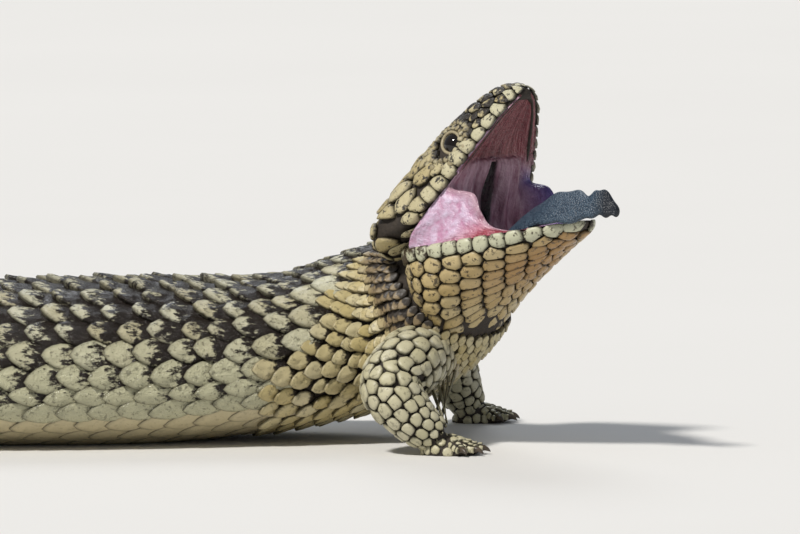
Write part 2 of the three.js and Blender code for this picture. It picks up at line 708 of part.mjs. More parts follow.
// Each node keeps clear of the ones before it by GAP: a tool is the outside of a node, grown by that much.
const spineAt = (station) => spine.lengths[spine.places.findIndex((p) => p >= station)];
const tailEnd = spineAt(TAIL_BASE);
const neckStart = spineAt(NECK_ROOT);
const limbTop = ({ path }) => new THREE.Vector3(...path[1].slice(0, 3));
const limbRoots = Object.values(LEGS).map((leg) => [limbTop(leg), LIMB_CLEAR]);

function torsoOutside(grow) {
  const [rear, front] = scuteReach(SCUTES.torso);
  const plates = trunkScutes(SCUTES.torso, tailEnd + rear, neckStart - front, limbRoots, grow);
  return joined([trunkTube(TAIL_BASE, NECK_ROOT, grow, 18, 20), ...plates]);
}

function tailOutside() {
  const [rear, front] = scuteReach(SCUTES.tail);
  const plates = trunkScutes(SCUTES.tail, rear, tailEnd - front, [], 0);
  return joined([trunkTube(0, TAIL_BASE, 0, 10, 16), ...plates]);
}

function neckOutside(grow) {
  const [rear, front] = scuteReach(SCUTES.neck);
  const plates = trunkScutes(SCUTES.neck, neckStart + rear, spineAt(NAPE) - front, limbRoots, grow);
  return joined([trunkTube(NECK_ROOT, NECK_END, grow, 7, 18), ...plates]);
}

const torsoTool = torsoOutside(GAP);
const headTool = headOutside(GAP);
const jawTool = jawOutside(GAP);
const tongueTool = tongue(GAP);
const neckTool = neckOutside(GAP);
const clearOf = (body, ...tools) => largest(tools.reduce((left, tool) => left.subtract(tool), body));

place("torso", clearOf(torsoOutside(0), floorBlock), COLOURS.back, 0.55);
place("tail", clearOf(tailOutside(), torsoTool, floorBlock), COLOURS.back, 0.55);
place("neck", clearOf(neckOutside(0), torsoTool, headTool, jawTool), COLOURS.flank, 0.6);
place("head", head(), COLOURS.flank, 0.5);
place("jaw_lower", largest(jaw()), COLOURS.jaw, 0.5);
place("mouth_lining", clearOf(lining(), headTool, jawTool, neckTool), COLOURS.lining, 0.3);
place("tongue", tongue(0), COLOURS.tongue, 0.5);
place("eye_right", eyeball(1, EYE.radius), COLOURS.eye, 0.1);
place("eye_left", eyeball(-1, EYE.radius), COLOURS.eye, 0.1);

for (const [name, { path, heading }] of Object.entries(LEGS)) {
  const leg = limb(path).add(foot(path.at(-1), heading));
  place(name, clearOf(leg, torsoTool, neckTool, floorBlock), COLOURS.leg, 0.55);
}

export default model;
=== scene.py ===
"""A life-size shingleback, the stump-tailed blue-tongued lizard, in its threat pose: belly on the floor,
head raised and turned, mouth gaping, blue tongue over the lip. One dark skin carries a coat of solid scales.

Every shape is worked out in millimetres as whole arrays and becomes metres when its mesh is made. A surface
is a function of a length along the part, an angle from its top and a lift off the skin. Scales are small
closed domes laid on such a surface: each vertex is the surface point at the scale's place plus its offset,
moved out by a height. Shields take the outline of the cell round their place, and scutes overlap like tiles
on a roof."""

import math

import bmesh
import bpy
import numpy as np
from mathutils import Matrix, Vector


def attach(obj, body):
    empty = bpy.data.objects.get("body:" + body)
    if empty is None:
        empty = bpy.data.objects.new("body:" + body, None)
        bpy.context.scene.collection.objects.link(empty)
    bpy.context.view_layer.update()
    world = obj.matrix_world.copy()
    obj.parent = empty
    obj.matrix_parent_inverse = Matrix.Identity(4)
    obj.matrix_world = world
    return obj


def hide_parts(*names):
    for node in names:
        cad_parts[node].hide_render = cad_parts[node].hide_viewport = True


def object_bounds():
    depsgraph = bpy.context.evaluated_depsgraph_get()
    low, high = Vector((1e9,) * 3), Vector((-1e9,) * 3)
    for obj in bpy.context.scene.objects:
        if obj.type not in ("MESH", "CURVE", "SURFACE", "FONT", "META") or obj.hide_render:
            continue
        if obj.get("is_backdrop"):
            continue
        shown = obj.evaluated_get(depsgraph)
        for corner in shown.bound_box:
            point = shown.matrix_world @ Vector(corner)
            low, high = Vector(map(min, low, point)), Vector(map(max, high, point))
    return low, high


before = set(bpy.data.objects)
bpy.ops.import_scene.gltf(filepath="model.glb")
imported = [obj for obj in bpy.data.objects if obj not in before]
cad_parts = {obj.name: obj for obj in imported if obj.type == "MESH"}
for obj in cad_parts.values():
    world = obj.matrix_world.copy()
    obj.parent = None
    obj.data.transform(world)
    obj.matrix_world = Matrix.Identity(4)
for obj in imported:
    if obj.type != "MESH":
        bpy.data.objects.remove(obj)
cad_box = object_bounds()

MM = 0.001
SEED = 11

# Trunk, one row a station from the tail's end to the throat: x, y, z of the widest level, yaw towards +Y,
# backward pitch of the section, half width, height above and depth below the widest level.
TRUNK = np.array([
    [-179, 31, 9.5, -30, 0, 7, 6, 6.5],
    [-170, 26, 10, -28, 0, 13, 9.5, 9.8],
    [-148, 15.5, 11, -25, 0, 17, 12, 11.6],
    [-122, 5, 12, -18, 0, 17.5, 14, 12.4],
    [-98, -1, 14.5, -9, 0, 25, 20, 14.6],
    [-62, -4, 17, 0, 0, 34, 25, 17.8],
    [-18, -3, 18, 3, 0, 39.5, 25.5, 19],
    [26, 0, 18.5, 4, 1, 37, 25.5, 19.3],
    [64, 2.5, 20.5, 2, 5, 31.5, 24, 17.5],
    [88, 3, 24.5, -4, 18, 27, 26.5, 17],
    [102.5, 0, 30, -16, 27, 23.5, 26.5, 18],
    [112.5, -11, 41.5, -42, 39, 21, 20.5, 18.5],
    [120, -18.5, 50, -43, 42, 17.5, 13, 15],
], float)
TAIL_BASE, NAPE = 3.25, 11.0  # in stations

# Head: pose of the two lip lines, and sections behind the tip of each jaw: distance behind the tip, half
# width, level of the widest place above the lip line, height above that level and depth below it.
HEAD_YAW, UPPER_PITCH, LOWER_PITCH = -43.4, 59.4, 11.3
SNOUT_TIP = np.array([136.2, -34.6, 101.6])
UPPER_LIP, LOWER_LIP, MOUTH_CORNER = 51.8, 49.6, 46.0
SKULL = np.array([
    [-1, 1.5, 1.2, 0.9, 1],
    [0, 3.1, 0.8, 4, 1.6],
    [3, 5.8, 0, 8.4, 0.8],
    [8, 8.8, 0, 11.2, 0.8],
    [15, 12, 0, 14.2, 0.8],
    [22, 15.2, 0, 16.3, 0.8],
    [30, 18.2, 0, 17.9, 0.9],
    [38, 21.4, 0.8, 18.4, 1.8],
    [46, 24.2, 3.5, 16.3, 4],
    [53, 25, 7.5, 11.5, 4.5],
    [59, 21, 9.5, 7, 5],
    [63, 12, 9.5, 3, 3],
], float)
JAW = np.array([
    [-1, 1.5, 0, 0.4, 1.4],
    [0.5, 4, 0, 0.6, 2.6],
    [5, 8.2, 0, 0.6, 4],
    [12, 12.6, 0, 0.6, 6],
    [21, 16.8, 0, 0.6, 9.6],
    [30, 19.8, 0, 0.6, 13.8],
    [40, 22, 0, 0.6, 19.6],
    [48, 22, 0, 0.8, 25.4],
    [54, 19, 0, 0.8, 26.5],
], float)
BULGE = {"trunk": 0.92, "skull": 0.81, "jaw": 0.86}  # 1 is an ellipse, 0 a box
EYE = {"at": 22.2, "out": 10.2, "up": 7.3, "radius": 4.2}
EYE_LOOK = (0.33, 0.93, 0.14)  # forward, right and rise shares of the way an eye looks
LID_OPENING = (3.0, 3.6)  # half the opening of the lids along the head and across it
NOSTRIL = {"at": 4.6, "out": 6.2, "up": 4.4, "radius": 1.0}
EAR = {"at": 57.0, "out": 22.0, "up": 6.5, "radius": 1.3}

# Legs: x, y, z and radius from the root inside the trunk to the wrist or ankle, and the way the foot points.
LEGS = {
    "foreleg_right": ([[108, -10, 25, 9.5], [103, -33, 25, 9.2], [97.5, -44, 19, 8.4],
                       [103.5, -46.5, 10.5, 6.8], [110.5, -46, 5, 4.8]], 2),
    "foreleg_left": ([[106, 12, 25, 9.5], [112, 34, 24, 9], [114, 42, 17.5, 8],
                      [117, 45, 10.5, 6.6], [120, 47, 5, 4.8]], 14),
    "hindleg_right": ([[-94, -10, 15, 10], [-82, -34, 15, 9.6], [-76, -44, 12.5, 8.2],
                       [-83, -50, 8, 6.4], [-89, -53, 5, 4.8]], -42),
    "hindleg_left": ([[-98, 10, 15, 10], [-90, 33, 15, 9.6], [-86, 43, 12.5, 8.2],
                      [-94, 48, 8, 6.4], [-100, 51, 5, 4.8]], 52),
}
PALM = {"length": 7.4, "half": 5.4, "height": 5.0, "ahead": 2.8, "level": 0.6}
TOES = [(-60, 3.8), (-30, 5), (0, 5.7), (28, 5.3), (60, 4)]  # turn from the foot's way, and length
TOE_RADIUS = 2.0
CLAW_LENGTH = 2.3

# Tongue: ahead of the line where the lips cross, right and above the lower lip plane, half width, lean of the
# blade, and its thickness.
TONGUE = np.array([
    [9, 0, -3, 4.6, 0, 4.2],
    [19, 2.6, -2, 5.6, 14, 4],
    [28.8, 4.6, 1.6, 4.4, 34, 3.6],
    [35.5, 5.4, 3, 4.8, 42, 3.8],
    [43, 6, 4.5, 5.3, 48, 4],
    [50.5, 6, 3.9, 5.7, 50, 4],
    [56.5, 5.5, 3.1, 3.7, 60, 3.8],
    [60.5, 5.2, 3.8, 3.9, 76, 3.2],
    [64, 5, 2.6, 3.4, 74, 2.6],
    [66.4, 4.8, 0.4, 1.3, 60, 2],
], float)

COAT = 0.9  # how far the skin lies under the scales' tops
HEAD_COAT, LEG_COAT = 0.8, 0.7  # shares of it on the head and the legs


# Curves and sections

def between(rows, place):
    """Rows of a table read between its stations, on the cubic through each pair whose slopes are half the
    step from the row before to the row after."""
    last = len(rows) - 1
    start = np.clip(np.floor(place), 0, last - 1).astype(int)
    t = (np.asarray(place, float) - start)[..., None]
    before, here, there, after = (rows[np.clip(start + k, 0, last)] for k in (-1, 0, 1, 2))
    return (
        here * (2 * t**3 - 3 * t**2 + 1)
        + (there - before) / 2 * (t**3 - 2 * t**2 + t)
        + there * (3 * t**2 - 2 * t**3)
        + (after - here) / 2 * (t**3 - t**2)
    )


def columns(rows, place):
    """The same, as one array for each column."""
    return np.moveaxis(between(rows, place), -1, 0)


def section(half, top, bottom, power, angle, lift):
    """Point of a superellipse at an angle from its top: the reach is the inverse root of the sum of the
    sine's and cosine's powers over the half axes, so a lift swells both axes."""
    n = 2 / power
    tall = np.where(np.cos(angle) > 0, top, bottom) + lift
    broad = half + lift
    reach = (np.abs(np.sin(angle) / broad) ** n + np.abs(np.cos(angle) / tall) ** n) ** (-1 / n)
    return reach * np.sin(angle), reach * np.cos(angle)


def section_share(wide, high, half, top, bottom, power):
    """The sum of powers that is 1 on that superellipse, under 1 inside it and over 1 outside."""
    n = 2 / power
    return np.abs(wide / half) ** n + np.abs(high / np.where(high > 0, top, bottom)) ** n


def unit(v):
    """Vectors over their lengths."""
    return v / np.maximum(np.linalg.norm(v, axis=-1, keepdims=True), 1e-9)


def stack(*parts):
    """Numbers or arrays of one shape as the coordinates of points."""
    return np.stack(np.broadcast_arrays(*parts), -1)


def arc_lengths(line):
    """Length along a line of points up to each of them: the sum of the steps before it."""
    return np.concatenate([[0], np.cumsum(np.linalg.norm(np.diff(line, axis=0), axis=1))])


def wrapped(angle):
    """An angle turned by whole turns to lie between minus and plus half a turn."""
    return (angle + math.pi) % (2 * math.pi) - math.pi


SPINE_PLACE = np.linspace(0, len(TRUNK) - 1, 601)
SPINE_MM = arc_lengths(between(TRUNK, SPINE_PLACE)[:, :3])


def spine_mm(place):
    """Length from the tail's end to a station, along the line through the stations."""
    return float(np.interp(place, SPINE_PLACE, SPINE_MM))


def trunk(along, angle, lift=0.0):
    """Trunk, tail and neck: along runs forward from the tail's end, the angle from the ridge to the right."""
    x, y, z, yaw, pitch, half, top, bottom = columns(TRUNK, np.interp(along, SPINE_MM, SPINE_PLACE))
    yaw, pitch = np.radians(yaw), np.radians(pitch)
    right = stack(np.sin(yaw), -np.cos(yaw), 0 * yaw)
    rise = stack(-np.sin(pitch) * np.cos(yaw), -np.sin(pitch) * np.sin(yaw), np.cos(pitch))
    wide, high = section(half, top, bottom, BULGE["trunk"], angle, lift)
    return stack(x, y, z) + right * wide[..., None] + rise * high[..., None]


def jaw_frame(pitch):
    """Forward along a lip line, the animal's right, and the rise square to both."""
    yaw, lean = math.radians(HEAD_YAW), math.radians(pitch)
    forward = np.array([math.cos(lean) * math.cos(yaw), math.cos(lean) * math.sin(yaw), math.sin(lean)])
    right = np.array([math.sin(yaw), -math.cos(yaw), 0])
    return forward, right, np.cross(right, forward)


UPPER = jaw_frame(UPPER_PITCH)
LOWER = jaw_frame(LOWER_PITCH)
HINGE = SNOUT_TIP - UPPER_LIP * UPPER[0]
CHIN_TIP = HINGE + LOWER_LIP * LOWER[0]


def in_frame(axes, origin, ahead, right, rise):
    """Points at distances along a frame's three axes from its origin."""
    return (
        origin
        + np.asarray(ahead)[..., None] * axes[0]
        + np.asarray(right)[..., None] * axes[1]
        + np.asarray(rise)[..., None] * axes[2]
    )


def jaw_surface(rows, axes, tip, power):
    """A jaw's skin: along is minus the distance behind its tip, the angle runs from the top to the right."""
    def surface(along, angle, lift=0.0):
        place = np.interp(-np.asarray(along, float), rows[:, 0], np.arange(len(rows)))
        at, half, level, top, bottom = columns(rows, place)
        wide, high = section(half, top, bottom, power, angle, lift)
        return in_frame(axes, tip, -at, wide, level + high)
    return surface


def ramp(value, low, high):
    """Smooth step from 0 at low to 1 at high."""
    t = np.clip((value - low) / (high - low), 0, 1)
    return t * t * (3 - 2 * t)


RIM_SHARE = 0.1  # of an angle that is left past a lip's edge


def skull_rim(along, angle):
    """Angles past the upper lip's edge are drawn back to it, so that no scale reaches into the mouth."""
    most = 1.59 + 1.4 * ramp(-along, 41, 50)
    size = np.abs(angle)
    return np.sign(angle) * np.where(size > most, most + RIM_SHARE * (size - most), size)


def jaw_rim(along, angle):
    """The same for the lower lip, whose scales lie below its edge."""
    turn = wrapped(angle)
    size = np.abs(turn)
    return np.sign(turn) * np.where(size < 1.56, 1.56 - RIM_SHARE * (1.56 - size), size)


skull = jaw_surface(SKULL, UPPER, SNOUT_TIP, BULGE["skull"])
jaw = jaw_surface(JAW, LOWER, CHIN_TIP, BULGE["jaw"])
skull.rim, jaw.rim = skull_rim, jaw_rim


LIMB_STEP = 0.06  # in stations, from which a limb's direction is read


def limb_surface(path):
    """A limb's skin: along runs from the root to the wrist, the angle from its upper side to its left."""
    rows = np.array(path, float)
    places = np.linspace(0, len(rows) - 1, 201)
    line = between(rows, places)[:, :3]
    lengths = arc_lengths(line)

    def surface(along, angle, lift=0.0):
        place = np.interp(along, lengths, places)
        centre = between(rows, place)
        ahead = between(rows, np.clip(place + LIMB_STEP, 0, len(rows) - 1))[..., :3]
        behind = between(rows, np.clip(place - LIMB_STEP, 0, len(rows) - 1))[..., :3]
        forward = unit(ahead - behind)
        side = unit(np.cross(np.array([0, 0, 1.0]), forward))
        top = np.cross(forward, side)
        reach = (centre[..., 3] + lift)[..., None]
        return centre[..., :3] + reach * (top * np.cos(angle)[..., None] + side * np.sin(angle)[..., None])

    surface.length = lengths[-1]
    surface.line = line
    surface.radius = between(rows, places)[:, 3]
    return surface


limbs = {name: limb_surface(path) for name, (path, _) in LEGS.items()}


def foot_frame(name):
    """Middle of the palm on the floor, the way the foot points, and the way to its left."""
    path, heading = LEGS[name]
    turn = math.radians(heading)
    forward = np.array([math.cos(turn), math.sin(turn), 0])
    left = np.array([-math.sin(turn), math.cos(turn), 0])
    middle = np.array([path[-1][0], path[-1][1], 0]) + PALM["ahead"] * forward
    return middle, forward, left


def toe_line(name, turn, length):
    """Five points of a toe: it leaves the palm, arches over its joint and comes down to the floor."""
    middle, forward, left = foot_frame(name)
    angle = math.radians(turn)
    way = math.cos(angle) * forward + math.sin(angle) * left
    share = np.linspace(0, 1, 5)
    arch = TOE_RADIUS * (0.75 + 0.7 * np.sin(math.pi * np.clip(share + 0.15, 0, 1)) * (1 - share))
    radius = TOE_RADIUS * (1.06 - 0.34 * share)
    reach = PALM["half"] * 0.45 + (PALM["half"] * 0.35 + length) * share
    line = middle + reach[:, None] * way + arch[:, None] * np.array([0, 0, 1])
    return [[*point, r] for point, r in zip(line.tolist(), radius.tolist())], way


# Meshes

def new_mesh(name, points, faces, smooth=True):
    """An object from points in millimetres; closed shells get their faces turned outwards."""
    mesh = bpy.data.meshes.new(name)
    mesh.from_pydata((np.asarray(points) * MM).tolist(), [], faces)
    shell = bmesh.new()
    shell.from_mesh(mesh)
    bmesh.ops.recalc_face_normals(shell, faces=shell.faces)
    shell.to_mesh(mesh)
    shell.free()
    mesh.polygons.foreach_set("use_smooth", np.full(len(mesh.polygons), smooth))
    thing = bpy.data.objects.new(name, mesh)
    bpy.context.scene.collection.objects.link(thing)
    return thing


def grid_faces(rings, sides, offset=0):
    """Quads between rings of equal sides, closed round each ring."""
    ring, side = np.meshgrid(np.arange(rings - 1), np.arange(sides), indexing="ij")
    a = ring * sides + side
    b = ring * sides + (side + 1) % sides
    return (np.stack([a, b, b + sides, a + sides], -1).reshape(-1, 4) + offset).tolist()


def tube(surface, start, end, rings, sides, lift=0.0):
    """Closed loft of a surface between two lengths: rings of points, with a middle point at each end."""
    along = np.linspace(start, end, rings)
    angle = np.arange(sides) * 2 * math.pi / sides
    points = surface(along[:, None] + 0 * angle, 0 * along[:, None] + angle, lift)
    ends = points[[0, -1]].mean(axis=1)
    count = rings * sides
    last = count - sides
    side = np.arange(sides)
    following = (side + 1) % sides
    faces = grid_faces(rings, sides)
    faces += stack(following, side, count).tolist()
    faces += stack(last + side, last + following, count + 1).tolist()
    return np.concatenate([points.reshape(-1, 3), ends]), faces


def ball(axes, origin, middle, radii, rings=10, sides=16, tip=0.12):
    """Ellipsoid with its radii along the frame's axes; tip is the angle from each pole to the first ring."""
    def surface(along, angle, lift=0.0):
        out = np.sin(along)
        return in_frame(
            axes, origin,
            middle[0] - radii[0] * np.cos(along),
            middle[1] + radii[1] * out * np.sin(angle),
            middle[2] + radii[2] * out * np.cos(angle),
        )
    return tube(surface, tip, math.pi - tip, rings, sides)


def merged(parts):
    """Several point and face lists as one."""
    points, faces, offset = [], [], 0
    for part_points, part_faces in parts:
        points.append(part_points)
        faces += [[i + offset for i in face] for face in part_faces]
        offset += len(part_points)
    return np.concatenate(points), faces


def apply_modifiers(thing):
    """Replaces a mesh by what its modifiers make of it."""
    view = bpy.context.evaluated_depsgraph_get()
    made = bpy.data.meshes.new_from_object(thing.evaluated_get(view))
    old = thing.data
    thing.modifiers.clear()
    thing.data = made
    bpy.data.meshes.remove(old)
    return thing


def points_of(mesh):
    """A mesh's vertices in millimetres."""
    co = np.empty(len(mesh.vertices) * 3)
    mesh.vertices.foreach_get("co", co)
    return co.reshape(-1, 3) / MM


def lifted(thing, least):
    """Vertices under a level in millimetres are raised to it."""
    points = points_of(thing.data)
    points[:, 2] = np.maximum(points[:, 2], least)
    thing.data.vertices.foreach_set("co", (points * MM).ravel())
    return thing


def add_attribute(mesh, name, values):
    """One number a vertex, for the material."""
    mesh.attributes.new(name, "FLOAT", "POINT").data.foreach_set("value", np.asarray(values, np.float32))


def add_map(mesh, name, coordinates):
    """A UV map from one pair of coordinates a vertex."""
    corner = np.empty(len(mesh.loops), int)
    mesh.loops.foreach_get("vertex_index", corner)
    mesh.uv_layers.new(name=name).data.foreach_set("uv", np.asarray(coordinates, np.float32)[corner].ravel())


def cut_away(thing, hollows, name):
    """Takes closed hollows out of a mesh."""
    tool = new_mesh(name, *merged(hollows))
    change = thing.modifiers.new("hollow", "BOOLEAN")
    change.operation, change.solver, change.object = "DIFFERENCE", "EXACT", tool
    change.use_self = True
    apply_modifiers(thing)
    bpy.data.objects.remove(tool)


# Skin: every loft of flesh in one mesh, remeshed so that no seam shows

PALATE = [  # distance behind the snout, half width, level, height, depth of the hollow
    [2.2, 2.6, 0, 0.8, 3],
    [5, 4.6, 0, 2, 3],
    [10, 7.2, 0, 3, 3],
    [20, 11.2, 0, 3.6, 4],
    [32, 15.6, 0, 6.2, 6],
    [44, 18, 1, 7, 8],
    [52, 17, 1, 5, 8],
]
MOUTH_FLOOR = [  # the same behind the chin
    [2.2, 2.8, 0, 3, 0.8],
    [6, 6, 0, 3, 1.8],
    [14, 10.4, 0, 3, 3],
    [26, 15.2, 0, 5, 4.6],
    [38, 18.4, 0, 7, 6],
    [50, 18, 0, 8, 8],
]
HOLLOW_BULGE = 0.9
SKIN_VOXEL = 1.15
SOCKET = 1.02  # radius of the hollow over the eye's
FLOOR_GAP = 0.05  # that scales and claws keep off the floor


def hollow(rows, axes, tip):
    """Closed shell of a hollow from its sections behind the tip of its jaw."""
    surface = jaw_surface(np.array(rows, float), axes, tip, HOLLOW_BULGE)
    return tube(surface, -rows[-1][0], -rows[0][0], 30, 32)


def toe_parts(name):
    """Shells of a foot's five toes."""
    parts = []
    for turn, length in TOES:
        path, _ = toe_line(name, turn, length)
        surface = limb_surface(path)
        parts.append(tube(surface, 0, surface.length, 6, 10))
    return parts


def palm_part(name):
    """Shell of a foot's palm, an ellipsoid just above the floor."""
    middle, forward, left = foot_frame(name)
    axes = (forward, left, np.array([0, 0, 1.0]))
    return ball(axes, middle, (0, 0, PALM["level"]), (PALM["length"], PALM["half"], PALM["height"]))


def make_skin():
    """The lofts of trunk, jaws and legs made one skin, the mouth and the eye sockets cut out of it, and the
    edges relaxed. Head and legs lie less far under their scales than the trunk does."""
    parts = [
        tube(trunk, 0, SPINE_MM[-1], 120, 64, -COAT),
        tube(skull, -SKULL[-1, 0], -SKULL[0, 0], 60, 48, -COAT * HEAD_COAT),
        tube(jaw, -JAW[-1, 0], -JAW[0, 0], 50, 48, -COAT * HEAD_COAT),
    ]
    for name, surface in limbs.items():
        parts.append(tube(surface, 0, surface.length, 40, 28, -COAT * LEG_COAT))
        parts.append(palm_part(name))
        parts += toe_parts(name)
    skin = new_mesh("skin", *merged(parts))
    change = skin.modifiers.new("one skin", "REMESH")
    change.mode, change.voxel_size = "VOXEL", SKIN_VOXEL * MM
    change.use_smooth_shade = True
    apply_modifiers(skin)
    hollows = [hollow(PALATE, UPPER, SNOUT_TIP), hollow(MOUTH_FLOOR, LOWER, CHIN_TIP)]
    for side in (-1, 1):
        middle = (-EYE["at"], side * EYE["out"], EYE["up"])
        hollows.append(ball(UPPER, SNOUT_TIP, middle, (EYE["radius"] * SOCKET,) * 3))
    for number, tool in enumerate(hollows):
        cut_away(skin, [tool], f"hollow {number}")
    relax = skin.modifiers.new("relax", "SMOOTH")
    relax.factor, relax.iterations = 0.5, 4
    apply_modifiers(skin)
    return lifted(skin, 0)


# Scales

def local_axes(surface, along, angle):
    """Rates of a surface along both parameters at each place, with unit axes forward and across."""
    step, turn = 0.4, 0.03
    ahead = (surface(along + step, angle) - surface(along - step, angle)) / (2 * step)
    round_ = (surface(along, angle + turn) - surface(along, angle - turn)) / (2 * turn)
    forward = unit(ahead)
    skew = (round_ * forward).sum(-1)
    across = unit(round_ - skew[..., None] * forward)
    return forward, across, np.linalg.norm(ahead, axis=-1), skew, (round_ * across).sum(-1)


def laid(surface, along, angle, x, y, height):
    """Points x forward, y across and height out of each place, following the surface's curve."""
    _, _, rate, skew, spread = local_axes(surface, along, angle)
    spread = np.maximum(spread, 1.0)
    turn = y / spread[:, None]
    step = (x - turn * skew[:, None]) / rate[:, None]
    u, v = along[:, None] + step, angle[:, None] + turn
    if hasattr(surface, "rim"):
        v = surface.rim(u, v)
    base = surface(u, v)
    out = unit(surface(u, v, 1.0) - base)
    return base + out * height[..., None]


def dome(sides, shares):
    """Rings and faces of one scale: a middle point and a ring for each share of the outline, the last one
    its foot."""
    angle = np.arange(sides) * 2 * math.pi / sides
    share = np.concatenate([[0], np.repeat(shares, sides)])
    theta = np.concatenate([[0], np.tile(angle, len(shares))])
    faces = [[0, 1 + k, 1 + (k + 1) % sides] for k in range(sides)]
    faces += grid_faces(len(shares), sides, 1)
    faces.append([1 + (len(shares) - 1) * sides + k for k in reversed(range(sides))])
    return share, theta, faces


PLATE_MAP_MM = 20  # millimetres of scale across the Plate map


def coat(name, points, faces, shares, extras, local, root, patch):
    """One mesh of many scales: points is scales by vertices. Each scale is a patch at its root on the
    unwrap, and the Plate map holds lengths along and across the scale."""
    count, each = points.shape[:2]
    points = points.reshape(-1, 3)
    points[:, 2] = np.maximum(points[:, 2], FLOOR_GAP)
    every = (np.arange(count) * each)[:, None]
    triangles = np.array([f for f in faces if len(f) == 3])
    quads = np.array([f for f in faces if len(f) == 4])
    feet = np.array([f for f in faces if len(f) > 4])
    lists = []
    for group in (triangles, quads, feet):
        lists += (every[:, :, None] + group[None]).reshape(-1, group.shape[1]).tolist()
    piece = new_mesh(name, points, lists)
    add_attribute(piece.data, "edge", np.tile(shares, count))
    for key, values in extras.items():
        values = np.asarray(values, float)
        add_attribute(piece.data, key, np.repeat(values, each) if values.ndim == 1 else values.ravel())
    add_map(piece.data, "Plate", local.reshape(-1, 2) / PLATE_MAP_MM)
    span = np.maximum(np.abs(local).max(axis=(1, 2)), 1e-6)[:, None, None]
    add_map(piece.data, "OFBake", (root[:, None] + local / span * patch / 2).reshape(-1, 2))
    return piece


def cell_outlines(points, forward, across, sides, gap, most, stretch, near=14):
    """Radius of each place's cell in even directions: half the distance to each neighbour over the cosine of
    the angle to it, the least of them softly rounded, less half the gap. Lengths forward count shorter by
    stretch."""
    flat = points.astype(np.float32)
    square = (flat**2).sum(1)
    apart = square[:, None] + square[None] - 2 * flat @ flat.T
    np.fill_diagonal(apart, np.inf)
    near = min(near, len(points) - 1)
    nearest = np.argpartition(apart, near - 1, axis=1)[:, :near]
    offset = points[nearest] - points[:, None]
    x = (offset * forward[:, None]).sum(-1) / stretch
    y = (offset * across[:, None]).sum(-1)
    distance = np.hypot(x, y)
    theta = np.arange(sides) * 2 * math.pi / sides
    facing = np.cos(theta[None, None] - np.arctan2(y, x)[..., None])
    bound = np.where(facing > 0.1, distance[..., None] / (2 * np.maximum(facing, 0.1)), 1e3)
    soft = (bound ** -14.0).sum(1) ** (-1 / 14.0)
    return np.minimum(soft, most[:, None]) - gap / 2


def scatter(surface, sample, spacing, fixed, rng, tries, keep, axis=None, stretch=1.0):
    """Places no nearer to each other than their spacing: the fixed ones first, then random ones that fit.
    Along the axis, distances count shorter by stretch."""
    def squeezed(points):
        if axis is None:
            return points
        return points - (points @ axis)[:, None] * axis * (1 - 1 / stretch)

    along, angle = sample(rng, tries)
    points = surface(along, angle)
    free = keep(points, along, angle)
    along, angle, points = along[free], angle[free], squeezed(points[free])
    room = spacing(along, angle)
    count = len(fixed[0])
    held = np.zeros((count + len(along), 3))
    rooms = np.zeros(count + len(along))
    chosen = np.zeros((count + len(along), 2))
    if count:
        chosen[:count] = np.stack(fixed, -1)
        held[:count] = squeezed(surface(chosen[:count, 0], chosen[:count, 1]))
        rooms[:count] = spacing(chosen[:count, 0], chosen[:count, 1])
    for k in range(len(along)):
        near = np.abs(held[:count] - points[k]).max(axis=1) < room[k] * 1.5
        gap = np.linalg.norm(held[:count][near] - points[k], axis=1)
        if (gap < (rooms[:count][near] + room[k]) / 2).any():
            continue
        held[count], rooms[count], chosen[count] = points[k], room[k], (along[k], angle[k])
        count += 1
    return chosen[:count, 0], chosen[:count, 1]


def courses(surface, start, end, low, high, pitch, wide, rng, jitter=0.12):
    """Places in rows across a surface, each row even by arc length and stepped half a place from the last."""
    alongs, angles = [], []
    at, row = start, 0
    while at < end:
        fan = np.linspace(low, high, 60)
        arc = arc_lengths(surface(np.full(60, at), fan))
        count = max(2, int(round(arc[-1] / wide(at))))
        share = (np.arange(count) + 0.5 * (row % 2) + 0.25) / count
        share = share + rng.uniform(-jitter, jitter, count) / count
        alongs.append(at + rng.uniform(-jitter, jitter, count) * pitch(at))
        angles.append(np.interp(share * arc[-1], arc, fan))
        at += pitch(at)
        row += 1
    return np.concatenate(alongs), np.concatenate(angles)


# Shares of a shield's outline at which its rings lie, and their heights over its thickness from the middle
# point out to the sunk foot.
SHIELD_SHARES = np.array([0.5, 0.84, 0.97, 1.0])
SHIELD_RISE = np.array([1, 0.98, 0.78, 0.36, -0.8])


